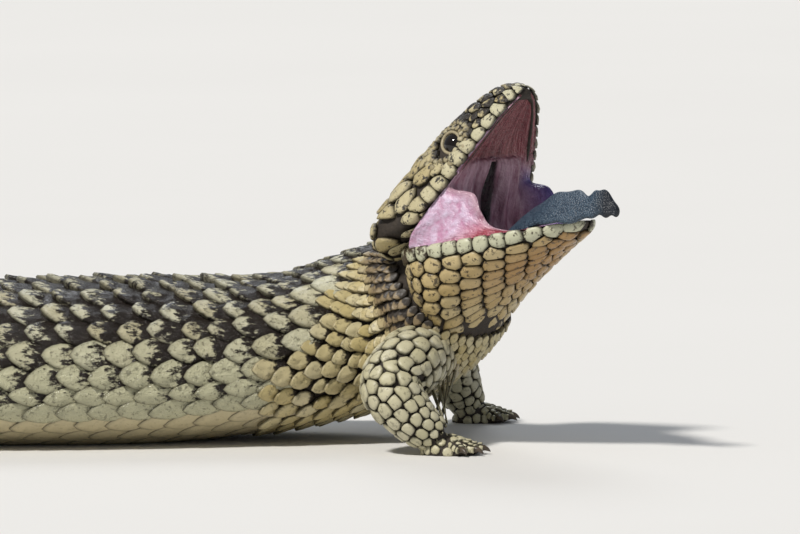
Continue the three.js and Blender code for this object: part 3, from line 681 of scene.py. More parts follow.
def shields(name, surface, along, angle, thick, gap, most, rng, extras, tilt=0.0, sides=12, stretch=1.0):
    """Domed scales that fill their cells: height is a rounded profile of the share of the outline, with a
    slight tilt to the rear and a little unevenness of its own on each scale."""
    points = surface(along, angle)
    forward, across, *_ = local_axes(surface, along, angle)
    outline = cell_outlines(points, forward, across, sides, gap, most, stretch)
    outline = np.maximum(outline, 0.25)
    share, theta, faces = dome(sides, SHIELD_SHARES)
    ring = np.concatenate([[0], np.tile(np.arange(sides), len(SHIELD_SHARES))])
    reach = outline[:, ring] * share
    x, y = reach * np.cos(theta) * stretch, reach * np.sin(theta)
    size = outline.mean(axis=1)
    rise = np.concatenate([[SHIELD_RISE[0]], np.repeat(SHIELD_RISE[1:], sides)])
    own = thick * (0.8 + 0.4 * rng.random(len(along))) * np.clip(size / np.median(size), 0.55, 1.25)
    height = own[:, None] * rise - tilt * x / size[:, None] * own[:, None] * (rise > 0)
    phase = rng.uniform(0, 6.28, (len(along), 2))
    ripple = np.sin(2.4 * x / size[:, None] + phase[:, :1]) * np.sin(1.9 * y / size[:, None] + phase[:, 1:])
    height = height + 0.14 * own[:, None] * ripple * (rise > 0.3)
    local = np.stack([x, y], -1)
    more = {"rand": rng.random(len(along)), "rear": 0.5 - x / (2 * size[:, None]), **extras}
    placed = laid(surface, along, angle, x, y, height)
    return coat(name, placed, faces, share, more, local, unwrapped(along, angle), 0.5 / math.sqrt(len(along)))


def unwrapped(along, angle):
    """Places on the unwrap of a surface: its length across the map and the angle up it."""
    spread = np.stack([along, angle], -1)
    low, high = spread.min(0), spread.max(0)
    return 0.03 + 0.94 * (spread - low) / np.maximum(high - low, 1e-6)


SCUTE_SHARES = np.array([0.42, 0.76, 0.93, 1.0, 0.93])


def scutes(name, surface, along, angle, length, width, proud, rng, extras, sides=14, blunt=1.7, patch=0.02):
    """Overlapping plates: the outline is a superellipse of power blunt, drawn out behind, whose height climbs
    from the sunk front edge to the raised rear one and falls to both sides, with lumps and ridges of its
    own."""
    share, theta, faces = dome(sides, SCUTE_SHARES)
    back = np.clip(-np.cos(theta), 0, 1)
    reach = 0.5 * (np.abs(np.cos(theta)) ** blunt + np.abs(np.sin(theta)) ** blunt) ** (-1 / blunt)
    x = share * reach * np.cos(theta) * (1 + 0.14 * back**3) * length[:, None]
    y = share * reach * np.sin(theta) * width[:, None]
    lean = np.clip(0.5 - x / length[:, None], 0, 1.1)
    phase = rng.uniform(0, 6.28, (len(along), 4))
    skew = rng.uniform(-0.12, 0.12, (len(along), 1))
    y = y + skew * x
    slant = y / width[:, None]
    ridge = np.sin(2 * math.pi * slant * 2.6 + phase[:, :1] + 0.5 * x)
    lump = np.sin(x * 0.9 + phase[:, 1:2]) * np.sin(y * 1.2 + phase[:, 2:3])
    foot = np.arange(len(share)) >= len(share) - sides
    rim = ~foot & (share == 1.0)
    height = proud[:, None] * (-0.3 + 1.15 * lean**0.9 + 0.4 - 1.5 * slant**2)
    height = height + proud[:, None] * (0.13 * ridge + 0.14 * lump) * (1 - share**4)
    height = np.where(rim, height - 0.26 * proud[:, None], height)
    height = np.where(foot, -0.9 + 0.25 * proud[:, None] * lean, height)
    placed = laid(surface, along, angle, x, y, height)
    # rear also sets where the finish paints a highlight on the raised rear crest and shade on the sunk front
    more = {"rand": rng.random(len(along)), "rear": lean, **extras}
    return coat(name, placed, faces, share, more, np.stack([x, y], -1), unwrapped(along, angle), patch)


def even(along, cover):
    """The same share of cream on every scale, and no tint."""
    return {"cover": np.full(len(along), cover), "tint": 0 * along}


def inside_limbs(points, slack=0.0):
    """Whether points lie within a limb."""
    hit = np.zeros(len(points), bool)
    for surface in limbs.values():
        apart = np.linalg.norm(points[:, None] - surface.line[None, ::4], axis=-1) - surface.radius[None, ::4]
        hit |= (apart.min(axis=1) < slack)
    return hit


FAR_OUT = 9.0  # stands for any place beyond a part's ends


def depth_in(surface_rows, axes, tip, power, points):
    """Where points lie in a jaw's section: under 1 is inside, over 1 outside."""
    offset = points - tip
    at = -(offset @ axes[0])
    place = np.interp(at, surface_rows[:, 0], np.arange(len(surface_rows)))
    _, half, level, top, bottom = columns(surface_rows, place)
    value = section_share(offset @ axes[1], offset @ axes[2] - level, half, top, bottom, power)
    return np.where((at < surface_rows[0, 0]) | (at > surface_rows[-1, 0]), FAR_OUT, value)


def depth_in_skull(points):
    """The same for the head."""
    return depth_in(SKULL, UPPER, SNOUT_TIP, BULGE["skull"], points)


def depth_in_jaw(points):
    """The same for the lower jaw."""
    return depth_in(JAW, LOWER, CHIN_TIP, BULGE["jaw"], points)


STATION_REACH = 1.2  # how near a trunk section's plane a point counts as in it


def depth_in_trunk(points):
    """The same for the trunk, at the station whose plane holds the point."""
    place = np.linspace(0, len(TRUNK) - 1, 241)
    x, y, z, yaw, pitch, half, top, bottom = columns(TRUNK, place)
    yaw, pitch = np.radians(yaw), np.radians(pitch)
    ahead = stack(np.cos(pitch) * np.cos(yaw), np.cos(pitch) * np.sin(yaw), np.sin(pitch))
    right = stack(np.sin(yaw), -np.cos(yaw), 0 * yaw)
    rise = np.cross(right, ahead)
    offset = points[:, None] - stack(x, y, z)[None]
    off_plane = np.abs((offset * ahead[None]).sum(-1))
    wide, high = (offset * right[None]).sum(-1), (offset * rise[None]).sum(-1)
    value = section_share(wide, high, half, top, bottom, BULGE["trunk"])
    return np.where(off_plane < STATION_REACH, value, FAR_OUT).min(axis=1)


# Scutes of the back, flanks, belly and tail

SCUTE_PITCH = 8.9
SCUTE_COLUMNS = 26
TAIL_COLUMNS = 12
SHOULDER = 8.5  # the station where the flank's scutes give way to small pointed scales
FLANK_END = 0.64 * math.pi  # eccentric angle at which the flank turns into the belly
TAIL_PITCH = SCUTE_PITCH * 1.15


def column_places(start, end, pitch, count, rng):
    """Places in columns round the trunk, even by eccentric angle, neighbours stepped by half a pitch."""
    column = np.arange(count)
    steps = np.arange(int((end - start) / pitch) + 1)
    grid_column, grid_step = np.meshgrid(column, steps, indexing="ij")
    along = start + (grid_step + 0.5 * (grid_column % 2)) * pitch
    along = along + rng.uniform(-0.07, 0.07, along.shape) * pitch
    eccentric = (grid_column + rng.uniform(-0.06, 0.06, along.shape)) * 2 * math.pi / count
    along, eccentric = along.ravel(), wrapped(eccentric.ravel())
    rows = columns(TRUNK, np.interp(along, SPINE_MM, SPINE_PLACE))
    half, top, bottom = rows[5], rows[6], rows[7]
    tall = np.where(np.cos(eccentric) > 0, top, bottom)
    angle = np.arctan2(half * np.sin(eccentric), tall * np.cos(eccentric))
    width = np.hypot(half * np.cos(eccentric), tall * np.sin(eccentric)) * 2 * math.pi / count
    return along, angle, eccentric, width


def back_cover(along, eccentric):
    """How much of a plate is cream: little on the back, more low on the flanks, most on the belly and the
    shoulders."""
    side = np.abs(eccentric) / math.pi
    cover = 0.32 + 0.06 * ramp(side, 0.08, 0.26) + 0.18 * ramp(side, 0.3, 0.44)
    cover = cover + 0.3 * ramp(along, spine_mm(7.8), spine_mm(9.3)) * ramp(side, 0.06, 0.35)
    return cover + 0.3 * ramp(side, 0.5, 0.64)


def make_trunk_coats():
    """Scutes of the back, the belly and the tail, in columns, left out where legs, head and small scales are.
    They stand proud most on the back and lie flatter towards the belly, the tail's end and the nape."""
    rng = np.random.default_rng(SEED)
    base, nape = spine_mm(TAIL_BASE), spine_mm(NAPE)
    along, angle, eccentric, width = column_places(base, nape + 4, SCUTE_PITCH, SCUTE_COLUMNS, rng)
    points = trunk(along, angle)
    side = np.abs(eccentric)
    start = spine_mm(SHOULDER)
    edge = 1.42 - 0.95 * ramp(along, start - 12, spine_mm(10.2))
    small_zone = (along > start - 12) & (side > edge)
    free = ~inside_limbs(points, -1.0)
    free &= (depth_in_skull(points) > 0.95) & (depth_in_jaw(points) > 0.95)
    upper = free & ~small_zone & (side < FLANK_END)
    under = free & ~small_zone & ~(side < FLANK_END)
    proud = 2.5 - 1.0 * ramp(side, 0.3 * math.pi, FLANK_END)
    proud = proud * np.interp(along, [base, base + 30, spine_mm(8), nape], [0.85, 1, 1, 0.7])
    taper = np.interp(along, [spine_mm(8.5), nape], [1, 0.72])
    pieces = []
    for name, chosen, thick in (("scutes_back", upper, 1.0), ("scutes_belly", under, 0.3)):
        a, e = along[chosen], eccentric[chosen]
        jitter = rng.uniform(0.9, 1.1, chosen.sum())
        shade = ramp(np.abs(e) / math.pi, 0.3, 0.46) * (1 - ramp(a, start - 30, start + 20))
        height = proud[chosen] * thick * rng.uniform(0.8, 1.2, chosen.sum())
        cover = back_cover(a, e) + rng.uniform(-0.07, 0.07, len(a))
        pieces.append(scutes(
            name, trunk, a, angle[chosen], SCUTE_PITCH * 1.52 * jitter * taper[chosen],
            width[chosen] * 1.4 * jitter, height, rng, {"cover": cover, "tint": shade},
        ))
    along, angle, eccentric, width = column_places(3.5, base + 5, TAIL_PITCH, TAIL_COLUMNS, rng)
    free = ~inside_limbs(trunk(along, angle), -1.0)
    along, angle, eccentric, width = along[free], angle[free], eccentric[free], width[free]
    jitter = rng.uniform(0.92, 1.08, len(along))
    below = ramp(np.abs(eccentric) / math.pi, 0.5, 0.75)
    pieces.append(scutes(
        "scutes_tail", trunk, along, angle, SCUTE_PITCH * 1.65 * jitter, width * 1.36 * jitter,
        2.0 * (1 - 0.7 * below) * jitter, rng,
        {"cover": back_cover(0 * along, eccentric), "tint": 0 * along},
    ))
    return pieces


def make_shoulder_coat():
    """Small pointed scales of the shoulders and the sides of the neck, finer and darker towards the fold."""
    rng = np.random.default_rng(SEED + 1)
    start, end = spine_mm(SHOULDER) - 16, spine_mm(NAPE) + 6

    def room(at):
        return np.interp(at, [start, spine_mm(9.4), spine_mm(10.2), end], [6.2, 4.9, 3.8, 2.9])

    def pitch(at):
        return room(at) * 0.84

    along, angle = courses(trunk, start, end, 0.4, 2 * math.pi - 0.4, pitch, room, rng)
    angle = wrapped(angle)
    points = trunk(along, angle)
    side = np.abs(angle)
    edge = 1.36 - 0.95 * ramp(along, spine_mm(SHOULDER) - 12, spine_mm(10.2))
    free = (side > edge) & ~inside_limbs(points, -0.6)
    free &= (depth_in_skull(points) > 0.98) & (depth_in_jaw(points) > 0.8)
    along, angle, side = along[free], angle[free], side[free]
    size = room(along) * rng.uniform(0.86, 1.14, len(along))
    fold = ramp(along, spine_mm(9.9), spine_mm(10.7)) * (1 - ramp(side, 2.0, 2.5))
    flat = 1 - 0.5 * ramp(side, 1.9, 2.5)
    return scutes(
        "scales_shoulder", trunk, along, angle, size * 1.22, size * 0.98, size * 0.4 * flat, rng,
        {"cover": 0.72 - 0.25 * fold + 0.4 * (1 - flat), "tint": fold}, sides=10, blunt=1.55, patch=0.012,
    )


# Shields of the head, jaw and throat

HEAD_ROOM = np.array([  # distance behind the snout, and the room a shield takes there
    [0, 2.1],
    [6, 2.4],
    [14, 2.8],
    [26, 3.5],
    [34, 5.2],
    [42, 6.2],
    [52, 6.6],
    [62, 4.8],
])


def head_spacing(along, angle):
    """Room a head shield takes: small on the snout, large on crown and temples, smaller again towards the
    lip and round the eye."""
    room = np.interp(-np.asarray(along), HEAD_ROOM[:, 0], HEAD_ROOM[:, 1])
    room = room * (1 - 0.2 * ramp(np.abs(angle), 1.0, 1.4))
    near_eye = ramp(nearest_of("eye", skull(along, angle)), EYE["radius"] + 7, EYE["radius"] + 2)
    return room * (1 - 0.55 * near_eye)


def head_places(name):
    """The two points of a paired feature of the head, right and left."""
    spot = {"eye": (EYE["at"], EYE["out"] + 2.5, EYE["up"] + 0.8),
            "nostril": (NOSTRIL["at"], NOSTRIL["out"], NOSTRIL["up"]),
            "ear": (EAR["at"], EAR["out"], EAR["up"])}[name]
    return [in_frame(UPPER, SNOUT_TIP, -spot[0], side * spot[1], spot[2]) for side in (1, -1)]


def nearest_of(name, points):
    """Distance to the nearer one of a paired feature."""
    return np.minimum(*(np.linalg.norm(points - spot, axis=-1) for spot in head_places(name)))


LABIAL_PITCH = 4.1


def make_head_coat():
    """Labials at an even pitch along the upper lip, and shields that fill the rest of the head. They are
    paler behind, darker on snout and crown and round the eyes."""
    rng = np.random.default_rng(SEED + 2)
    at = np.arange(1.8, MOUTH_CORNER + 4, LABIAL_PITCH)
    half = np.interp(at, SKULL[:, 0], SKULL[:, 1])
    low = math.pi / 2 - 2.1 / half + 0.2 * ramp(at, MOUTH_CORNER - 8, MOUTH_CORNER + 2)
    lips = (np.concatenate([[0.6, 0.4, 0.4], -at, -at]), np.concatenate([[0.0, 1.25, -1.25], low, -low]))

    def sample(rng, tries):
        return -rng.uniform(-0.6, 62.8, tries), rng.uniform(-2.9, 2.9, tries)

    def keep(points, along, angle):
        lip = 1.3 + 1.5 * ramp(-along, MOUTH_CORNER - 6, MOUTH_CORNER + 6)
        clear = nearest_of("nostril", points) > NOSTRIL["radius"] + 0.8
        clear &= nearest_of("ear", points) > EAR["radius"] + 0.8
        return (np.abs(angle) < lip) & (nearest_of("eye", points) > EYE["radius"] + 3.0) & clear

    along, angle = scatter(skull, sample, head_spacing, lips, rng, 12000, keep, UPPER[0], 1.3)
    room = head_spacing(along, angle)
    lip = np.arange(len(along)) < len(lips[0])
    most = np.where(lip, 2.7, room * 1.25)
    snout = ramp(-along, 34, 10)
    crown = ramp(np.abs(angle), 1.1, 0.5)
    by_eye = ramp(nearest_of("eye", skull(along, angle)), 12, 7)
    cover = 0.92 - 0.34 * snout - 0.12 * crown - 0.2 * by_eye
    cover = cover + rng.uniform(-0.1, 0.1, len(along))
    cover = np.where(lip, 0.98, cover)
    pale = np.where(lip, 0.4 + 0.6 * ramp(-along, 34, 6), 0)
    return shields(
        "shields_head", skull, along, angle, 0.8, 0.2, most, rng,
        {"cover": cover, "tint": 0 * along, "lip": pale}, tilt=0.1, stretch=1.3,
    )


LID_RINGS = ((5.3, 19), (6.9, 23))  # radius and number of the granules round an eye


def make_lid_coat():
    """Rings of small granules on the skin round each eye."""
    middle = math.atan2(EYE["out"] + 1.6, EYE["up"] + 0.2)
    head_radius = 14.5
    pieces = []
    for side, word in ((1, "right"), (-1, "left")):
        rng = np.random.default_rng(SEED + 3)
        along, angle = [], []
        for ring, count in LID_RINGS:
            turn = (np.arange(count) + rng.uniform(-0.2, 0.2, count)) * 2 * math.pi / count
            along.append(-EYE["at"] + ring * 1.04 * np.cos(turn))
            angle.append(side * (middle + ring * 0.9 * np.sin(turn) / head_radius))
        along, angle = np.concatenate(along), np.concatenate(angle)
        most = np.full(len(along), 1.25)
        pieces.append(shields(
            f"lid_scales_{word}", skull, along, angle, 0.8, 0.22, most, rng, even(along, 0.62), sides=10,
        ))
    return pieces


# Depth of each row of jaw scales below the lip's edge, along the skin
JAW_ROWS = [1.9, 5.9, 10.3, 14.4, 18.4, 22.2, 26.0, 29.8, 33.4, 37.0]
THROAT_ROOM = 4.1


def make_jaw_coat():
    """Labials along the lower lip, square scales in rows below them, and more that fill the gaps of the
    throat."""
    rng = np.random.default_rng(SEED + 4)
    alongs, angles = [], []
    half_girth = np.linspace(math.radians(90), math.pi, 90)
    for row, depth in enumerate(JAW_ROWS):
        pitch = 4.7 if row == 0 else 6.2 - 0.1 * row
        at = 1.2 + (row % 2) * pitch / 2
        while at < 53:
            arc = arc_lengths(jaw(np.full(len(half_girth), -at), half_girth))
            if depth < arc[-1] - 1.5:
                turn = float(np.interp(depth, arc, half_girth))
                for side in (-1, 1):
                    alongs.append(-at + rng.uniform(-0.4, 0.4))
                    angles.append(side * (turn + rng.uniform(-0.015, 0.015)))
            at += pitch
    fixed = (np.array(alongs), np.array(angles))

    def sample(rng, tries):
        return -rng.uniform(-0.8, 53.5, tries), math.pi + rng.uniform(-1.7, 1.7, tries)

    def spacing(along, angle):
        return THROAT_ROOM + 0 * along

    def keep(points, along, angle):
        return np.abs(wrapped(angle)) > 1.6

    along, angle = scatter(jaw, sample, spacing, fixed, rng, 6000, keep)
    angle = wrapped(angle)
    points = jaw(along, angle)
    free = (depth_in_trunk(points) > 0.7) & (depth_in_skull(points) > 0.98)
    along, angle = along[free], angle[free]
    # low marks the underside towards the chin, which the finish turns to the darker warm brown of Tinted.
    # This is painted shade under the chin.
    low = ramp(np.abs(angle), 1.75, 2.5) * ramp(-along, 46, 20)
    half = np.interp(-along, JAW[:, 0], JAW[:, 1])
    lip = np.abs(angle) < math.pi / 2 + 2.6 / half
    pale = np.where(lip, 1.0, 0.3 * ramp(np.abs(angle), 1.9, 1.7))
    cover = np.where(lip, 0.76, 0.88) - 0.22 * ramp(-along, 40, 50) + rng.uniform(-0.06, 0.06, len(along))
    return shields(
        "scales_throat", jaw, along, angle, 0.7, 0.24, np.where(lip, 2.8, 3.9), rng,
        {"cover": cover, "tint": low, "lip": pale}, tilt=0.12, stretch=1.12,
    )


# Scales of the legs and feet

def make_leg_coat(name):
    """Rounded scales in rows round a leg, with more in the gaps, smaller towards the foot. They are left out
    in the trunk, in the jaw and under the floor."""
    surface = limbs[name]
    rng = np.random.default_rng(SEED + 5 + len(name) + 3 * ("right" in name))

    def room(at):
        return np.interp(at / surface.length, [0, 0.5, 0.8, 1], [5.0, 5.0, 3.9, 2.8])

    def pitch(at):
        return room(at) * 0.88

    def spacing(along, angle):
        return room(along) * 0.8

    def sample(rng, tries):
        return rng.uniform(0, end, tries), rng.uniform(0, 6.28, tries)

    def keep(points, along, angle):
        return points[:, 2] > 0.6

    end = surface.length + 1.5
    fixed = courses(surface, 0, end, 0, 2 * math.pi, pitch, room, rng)
    along, angle = scatter(surface, sample, spacing, fixed, rng, 2500, keep)
    points = surface(along, angle)
    free = keep(points, along, angle) & (depth_in_trunk(points) > 0.9) & (depth_in_jaw(points) > 1)
    along, angle = along[free], angle[free]
    return shields(
        f"scales_{name}", surface, along, angle, 0.6, 0.18, room(along) * 0.7, rng,
        {"cover": np.full(len(along), 0.99), "tint": ramp(along / surface.length, 0.35, 0.0)}, tilt=-0.16,
    )


def palm_surface(name):
    """Skin of a foot's palm: along is the angle from its heel, the angle runs from its top to the left."""
    middle, forward, left = foot_frame(name)
    up = np.array([0, 0, 1.0])

    def surface(along, angle, lift=0.0):
        out = np.sin(along)
        return (
            middle
            + (-(PALM["length"] + lift) * np.cos(along))[..., None] * forward
            + ((PALM["half"] + lift) * out * np.sin(angle))[..., None] * left
            + (PALM["level"] + (PALM["height"] + lift) * out * np.cos(angle))[..., None] * up
        )
    return surface


TOE_SCALE_PITCH = 1.75


def make_foot_coat(name):
    """Small scales over the palm, and a row of bands with a scale on each side along every toe."""
    rng = np.random.default_rng(SEED + 40 + len(name) + 3 * ("right" in name))
    surface = palm_surface(name)

    def sample(rng, tries):
        return rng.uniform(0.25, 2.8, tries), rng.uniform(-1.5, 1.5, tries)

    def spacing(along, angle):
        return np.full(np.shape(along), 2.3)

    def keep(points, along, angle):
        return points[:, 2] > 0.5

    along, angle = scatter(surface, sample, spacing, ([], []), rng, 1500, keep)
    most = np.full(len(along), 1.7)
    pieces = [shields(
        f"scales_palm_{name}", surface, along, angle, 0.45, 0.3, most, rng, even(along, 0.9), sides=10,
    )]
    for number, (turn, length) in enumerate(TOES):
        path, _ = toe_line(name, turn, length)
        toe = limb_surface(path)
        at = np.arange(1.6, toe.length, TOE_SCALE_PITCH)
        along = np.concatenate([at, at + 0.4, at + 0.4])
        angle = np.concatenate([0 * at, 0 * at + 1.15, 0 * at - 1.15])
        most = np.full(len(along), 1.35)
        pieces.append(shields(
            f"scales_toe{number}_{name}", toe, along, angle, 0.38, 0.16, most, rng, even(along, 0.82),
            sides=10, tilt=-0.3,
        ))
    return joined(pieces, f"scales_foot_{name}")


def joined(pieces, name):
    """Several pieces as one, with their maps side by side on the unwrap."""
    cells = math.ceil(math.sqrt(len(pieces)))
    for number, piece in enumerate(pieces):
        layer = piece.data.uv_layers["OFBake"]
        uv = np.empty(len(layer.data) * 2, np.float32)
        layer.data.foreach_get("uv", uv)
        uv = (uv.reshape(-1, 2) + [number % cells, number // cells]) / cells
        layer.data.foreach_set("uv", uv.astype(np.float32).ravel())
    with bpy.context.temp_override(active_object=pieces[0], selected_editable_objects=pieces):
        bpy.ops.object.join()
    pieces[0].name = pieces[0].data.name = name
    return pieces[0]


def make_claws(name):
    """Five claws, each a cone that curves down to the floor: radius falls to nothing along a sinking arc."""
    parts = []
    for turn, length in TOES:
        path, way = toe_line(name, turn, length)
        tip = np.array(path[-1][:3])
        rows = []
        for share in (-0.25, 0.1, 0.4, 0.7, 1.0):
            sink = np.array([0, 0, 0.4 - 1.1 * share * share])
            rows.append([*(tip + way * share * CLAW_LENGTH + sink), 0.85 * (1 - share) ** 0.7 + 0.1])
        surface = limb_surface(rows)
        parts.append(tube(surface, 0, surface.length, 8, 8))
    return lifted(new_mesh(f"claws_{name}", *merged(parts)), FLOOR_GAP)


# Mouth, tongue and eyes

# Inside of the mouth from the snout to the chin, in the middle, along the cheeks and where the cheeks' skin
# meets the corner of the mouth: the jaw whose frame it is in, distance ahead of the hinge, height above the
# lip.
MOUTH_MIDDLE = [
    ("upper", 51.2, 0.3), ("upper", 38, 2.4), ("upper", 29.5, 2.2), ("lower", 18.6, 21),
    ("lower", 15.8, 14.5), ("lower", 13.2, 8.5), ("lower", 11.5, 3.2), ("lower", 15, -1.8),
    ("lower", 28, -3.6), ("lower", 40, -2), ("lower", 47.4, -0.4),
]
MOUTH_CHEEK = [
    ("upper", 50.8, -0.1), ("upper", 40, -0.1), ("upper", 31, -0.2), ("upper", 25, -0.3),
    ("upper", 21.3, -1.2), ("lower", 22.8, 12.4), ("lower", 25, 7.2), ("lower", 27.6, 2.6),
    ("lower", 33, 0.3), ("lower", 40, 0.1), ("lower", 47.4, 0),
]
MOUTH_CORNER_LINE = [
    ("upper", 50.8, -0.1), ("upper", 40, -0.1), ("upper", 31, -0.2), ("upper", 23, -0.2),
    ("upper", 13, 0.2), ("lower", 1, 0.4), ("lower", 8, -0.2), ("lower", 18, -0.2),
    ("lower", 30, 0), ("lower", 40, 0), ("lower", 47.4, 0),
]
MOUTH_ROWS, MOUTH_COLUMNS = 141, 121  # points of the sheet from snout to chin and from side to side
MOUTH_SHEET = 0.8  # its thickness
MOUTH_EDGE = 0.72  # share of the way across at which the cheeks' free edge lies


def hinge_points(rows):
    """A mouth outline as distances ahead of and above the hinge, in the plane of the head."""
    ahead_axis = unit(np.array([UPPER[0][0], UPPER[0][1], 0]))
    out = []
    for which, ahead, above in rows:
        axes = UPPER if which == "upper" else LOWER
        offset = ahead * axes[0] + above * axes[2]
        out.append([offset @ ahead_axis, offset[2]])
    return np.array(out), ahead_axis


def half_inside(outline, low):
    """Half width of the mouth at points of its outline: that of the upper jaw or, where low is 1, the lower
    one."""
    reach = np.linalg.norm(outline, axis=-1)
    upper = np.interp(np.clip(UPPER_LIP - reach, 0.5, 47), SKULL[:, 0], SKULL[:, 1])
    lower = np.interp(np.clip(LOWER_LIP - reach, 0.5, 47), JAW[:, 0], JAW[:, 1])
    return np.maximum((1 - low) * upper + low * lower - 1.3, 1.5)


def make_mouth():
    """One wet sheet over the palate, the back wall and the floor of the mouth. Across the head its outline
    blends from the middle's to the cheeks', and past their free edge to the line of the lips, so that the
    cheeks' skin closes the corner of the mouth. The throat is a leaf-shaped dent in the back wall, with folds
    beside it."""
    middle, ahead_axis = hinge_points(MOUTH_MIDDLE)
    cheek, _ = hinge_points(MOUTH_CHEEK)
    corner, _ = hinge_points(MOUTH_CORNER_LINE)
    down, across = MOUTH_ROWS, MOUTH_COLUMNS
    last = len(middle) - 1
    p = np.linspace(0, last, down)[:, None]
    q = np.linspace(-1, 1, across)[None]
    inner = np.clip(np.abs(q) / MOUTH_EDGE, 0, 1)
    outer = np.clip((np.abs(q) - MOUTH_EDGE) / (1 - MOUTH_EDGE), 0, 1)
    cheeky = ramp(inner, 0.5, 1.0)
    a, b, c = (between(rows, p + 0 * q) for rows in (middle, cheek, corner))
    outline = a + (b - a) * cheeky[..., None] + (c - b) * outer[..., None]
    wall = np.exp(-((p - 4.6) / 2.2) ** 4)
    fold = np.sin(inner * np.sign(q) * 11 + 0.5) + 0.6 * np.sin(inner * np.sign(q) * 23 + p * 0.7)
    outline[..., 0] += 1.0 * fold * wall * (1 - cheeky)
    leaf = np.clip(1 - ((p - 4.4) / 1.75) ** 2, 0, 1)
    hole = np.exp(-((inner * np.sign(q) - 0.03) / (0.02 + 0.17 * leaf)) ** 4) * ramp(leaf, 0, 0.3)
    outline[..., 0] -= 3 * hole
    low = ramp(p, 4.0, 6.2)
    edge_half, corner_half = half_inside(b, low), half_inside(c, low)
    wide = np.sign(q) * (inner * edge_half + outer * (corner_half - edge_half))
    front = HINGE + outline[..., :1] * ahead_axis + outline[..., 1:] * np.array([0, 0, 1.0])
    front = front + wide[..., None] * UPPER[1]
    out = unit(np.cross(np.gradient(front, axis=0), np.gradient(front, axis=1)))
    back = front + MOUTH_SHEET * out
    count = down * across
    i, j = np.meshgrid(np.arange(down - 1), np.arange(across - 1), indexing="ij")
    cell = i * across + j
    quads = np.stack([cell, cell + 1, cell + across + 1, cell + across], -1).reshape(-1, 4)
    faces = quads.tolist() + (quads[:, ::-1] + count).tolist()
    rim = np.concatenate([
        np.arange(across), np.arange(1, down) * across + across - 1,
        (down - 1) * across + np.arange(across - 2, -1, -1), np.arange(down - 2, 0, -1) * across,
    ])
    following = np.roll(rim, -1)
    faces += np.stack([rim, following, following + count, rim + count], -1).tolist()
    points = np.concatenate([front.reshape(-1, 3), back.reshape(-1, 3)])
    sheet = new_mesh("mouth_lining_wet", points, faces)
    near = ramp(outer * (q > 0) + 0 * p, 0.0, 0.2)
    far = ramp(inner * (q < 0) + 0 * p, 0.62, 0.95) * ramp(p + 0 * q, 2.6, 4.0)
    # hole also marks where the lining is painted near-black as shade in the gullet
    fields = {"near": near, "far": far, "hole": np.clip(hole * 3, 0, 1), "down": p / last + 0 * q}
    for key, values in fields.items():
        add_attribute(sheet.data, key, np.tile(values.ravel(), 2))
    unwrap = stack(0.02 + 0.46 * (q + 1) / 2, 0.02 + 0.96 * p / last).reshape(-1, 2)
    add_map(sheet.data, "OFBake", np.concatenate([unwrap, unwrap + [0.5, 0]]))
    return sheet


def make_tongue():
    """A blade along its line: an oval whose width leans over the lip, edges curled up a little, the tip
    twisted further."""
    def surface(along, angle, lift=0.0):
        ahead, right, rise, half, lean, thick = columns(TONGUE, along)
        lean = np.radians(lean)
        across = np.cos(lean)[..., None] * LOWER[1] - np.sin(lean)[..., None] * LOWER[2]
        up = np.cos(lean)[..., None] * LOWER[2] + np.sin(lean)[..., None] * LOWER[1]
        x = half * np.cos(angle)
        y = thick / 2 * np.sin(angle) + 0.10 * x**2 / np.maximum(half, 1) - 0.03 * half
        wave = 0.35 * np.sin(along * 5.1) * np.cos(angle)
        centre = in_frame(LOWER, HINGE, ahead, right, rise)
        return centre + (x + wave)[..., None] * across + y[..., None] * up

    rings, sides = 110, 44
    points, faces = tube(surface, 0, len(TONGUE) - 1, rings, sides)
    tongue = new_mesh("tongue_blade", points, faces)
    lined = np.linspace(0, 1, rings)[:, None] + np.zeros(sides)
    upside = np.sin(np.arange(sides) * 2 * math.pi / sides)[None] + np.zeros((rings, 1))
    add_attribute(tongue.data, "reach", np.concatenate([lined.ravel(), [0, 1]]))
    add_attribute(tongue.data, "upside", np.concatenate([upside.ravel(), [0, 0]]))
    return tongue


def make_eye(side):
    """Eyeball with a low bulge of cornea, and a thin rim of lid round the part that shows."""
    middle = in_frame(UPPER, SNOUT_TIP, -EYE["at"], side * EYE["out"], EYE["up"])
    outward = unit(EYE_LOOK[0] * UPPER[0] + side * EYE_LOOK[1] * UPPER[1] + EYE_LOOK[2] * UPPER[2])
    ahead = unit(UPPER[0] - (UPPER[0] @ outward) * outward)
    axes = (outward, ahead, np.cross(outward, ahead))

    def globe(along, angle, lift=0.0):
        radius = EYE["radius"] * (1 + 0.05 * np.exp(-((math.pi - along) / 0.5) ** 2))
        out = radius * np.sin(along)
        return in_frame(axes, middle, -radius * np.cos(along), out * np.sin(angle), out * np.cos(angle))

    def lid(along, angle, lift=0.0):
        thick = 0.5 * np.cos(angle)
        rise = 2.7 + 0.42 * np.cos(along) ** 2 + 0.62 * np.sin(angle)
        long = (LID_OPENING[0] + thick) * np.cos(along)
        return in_frame(axes, middle, rise, long, (LID_OPENING[1] + thick) * np.sin(along))

    name = "right" if side > 0 else "left"
    eye = new_mesh(f"eyeball_{name}", *tube(globe, 0.06, math.pi - 0.06, 28, 32))
    rings, sides = 64, 14
    along = np.arange(rings) * 2 * math.pi / rings
    angle = np.arange(sides) * 2 * math.pi / sides
    points = lid(along[:, None] + 0 * angle, 0 * along[:, None] + angle).reshape(-1, 3)
    ring, turn = np.meshgrid(np.arange(rings), np.arange(sides), indexing="ij")
    following = (ring + 1) % rings
    faces = np.stack([
        ring * sides + turn, ring * sides + (turn + 1) % sides,
        following * sides + (turn + 1) % sides, following * sides + turn,
    ], -1).reshape(-1, 4).tolist()
    rim = new_mesh(f"eyelid_{name}", points, faces)
    return eye, rim


# Materials

def material(name):
    """A new material, its nodes, its links and its shader."""
    made = bpy.data.materials.new(name)
    made.use_nodes = True
    return made, made.node_tree.nodes, made.node_tree.links, made.node_tree.nodes["Principled BSDF"]


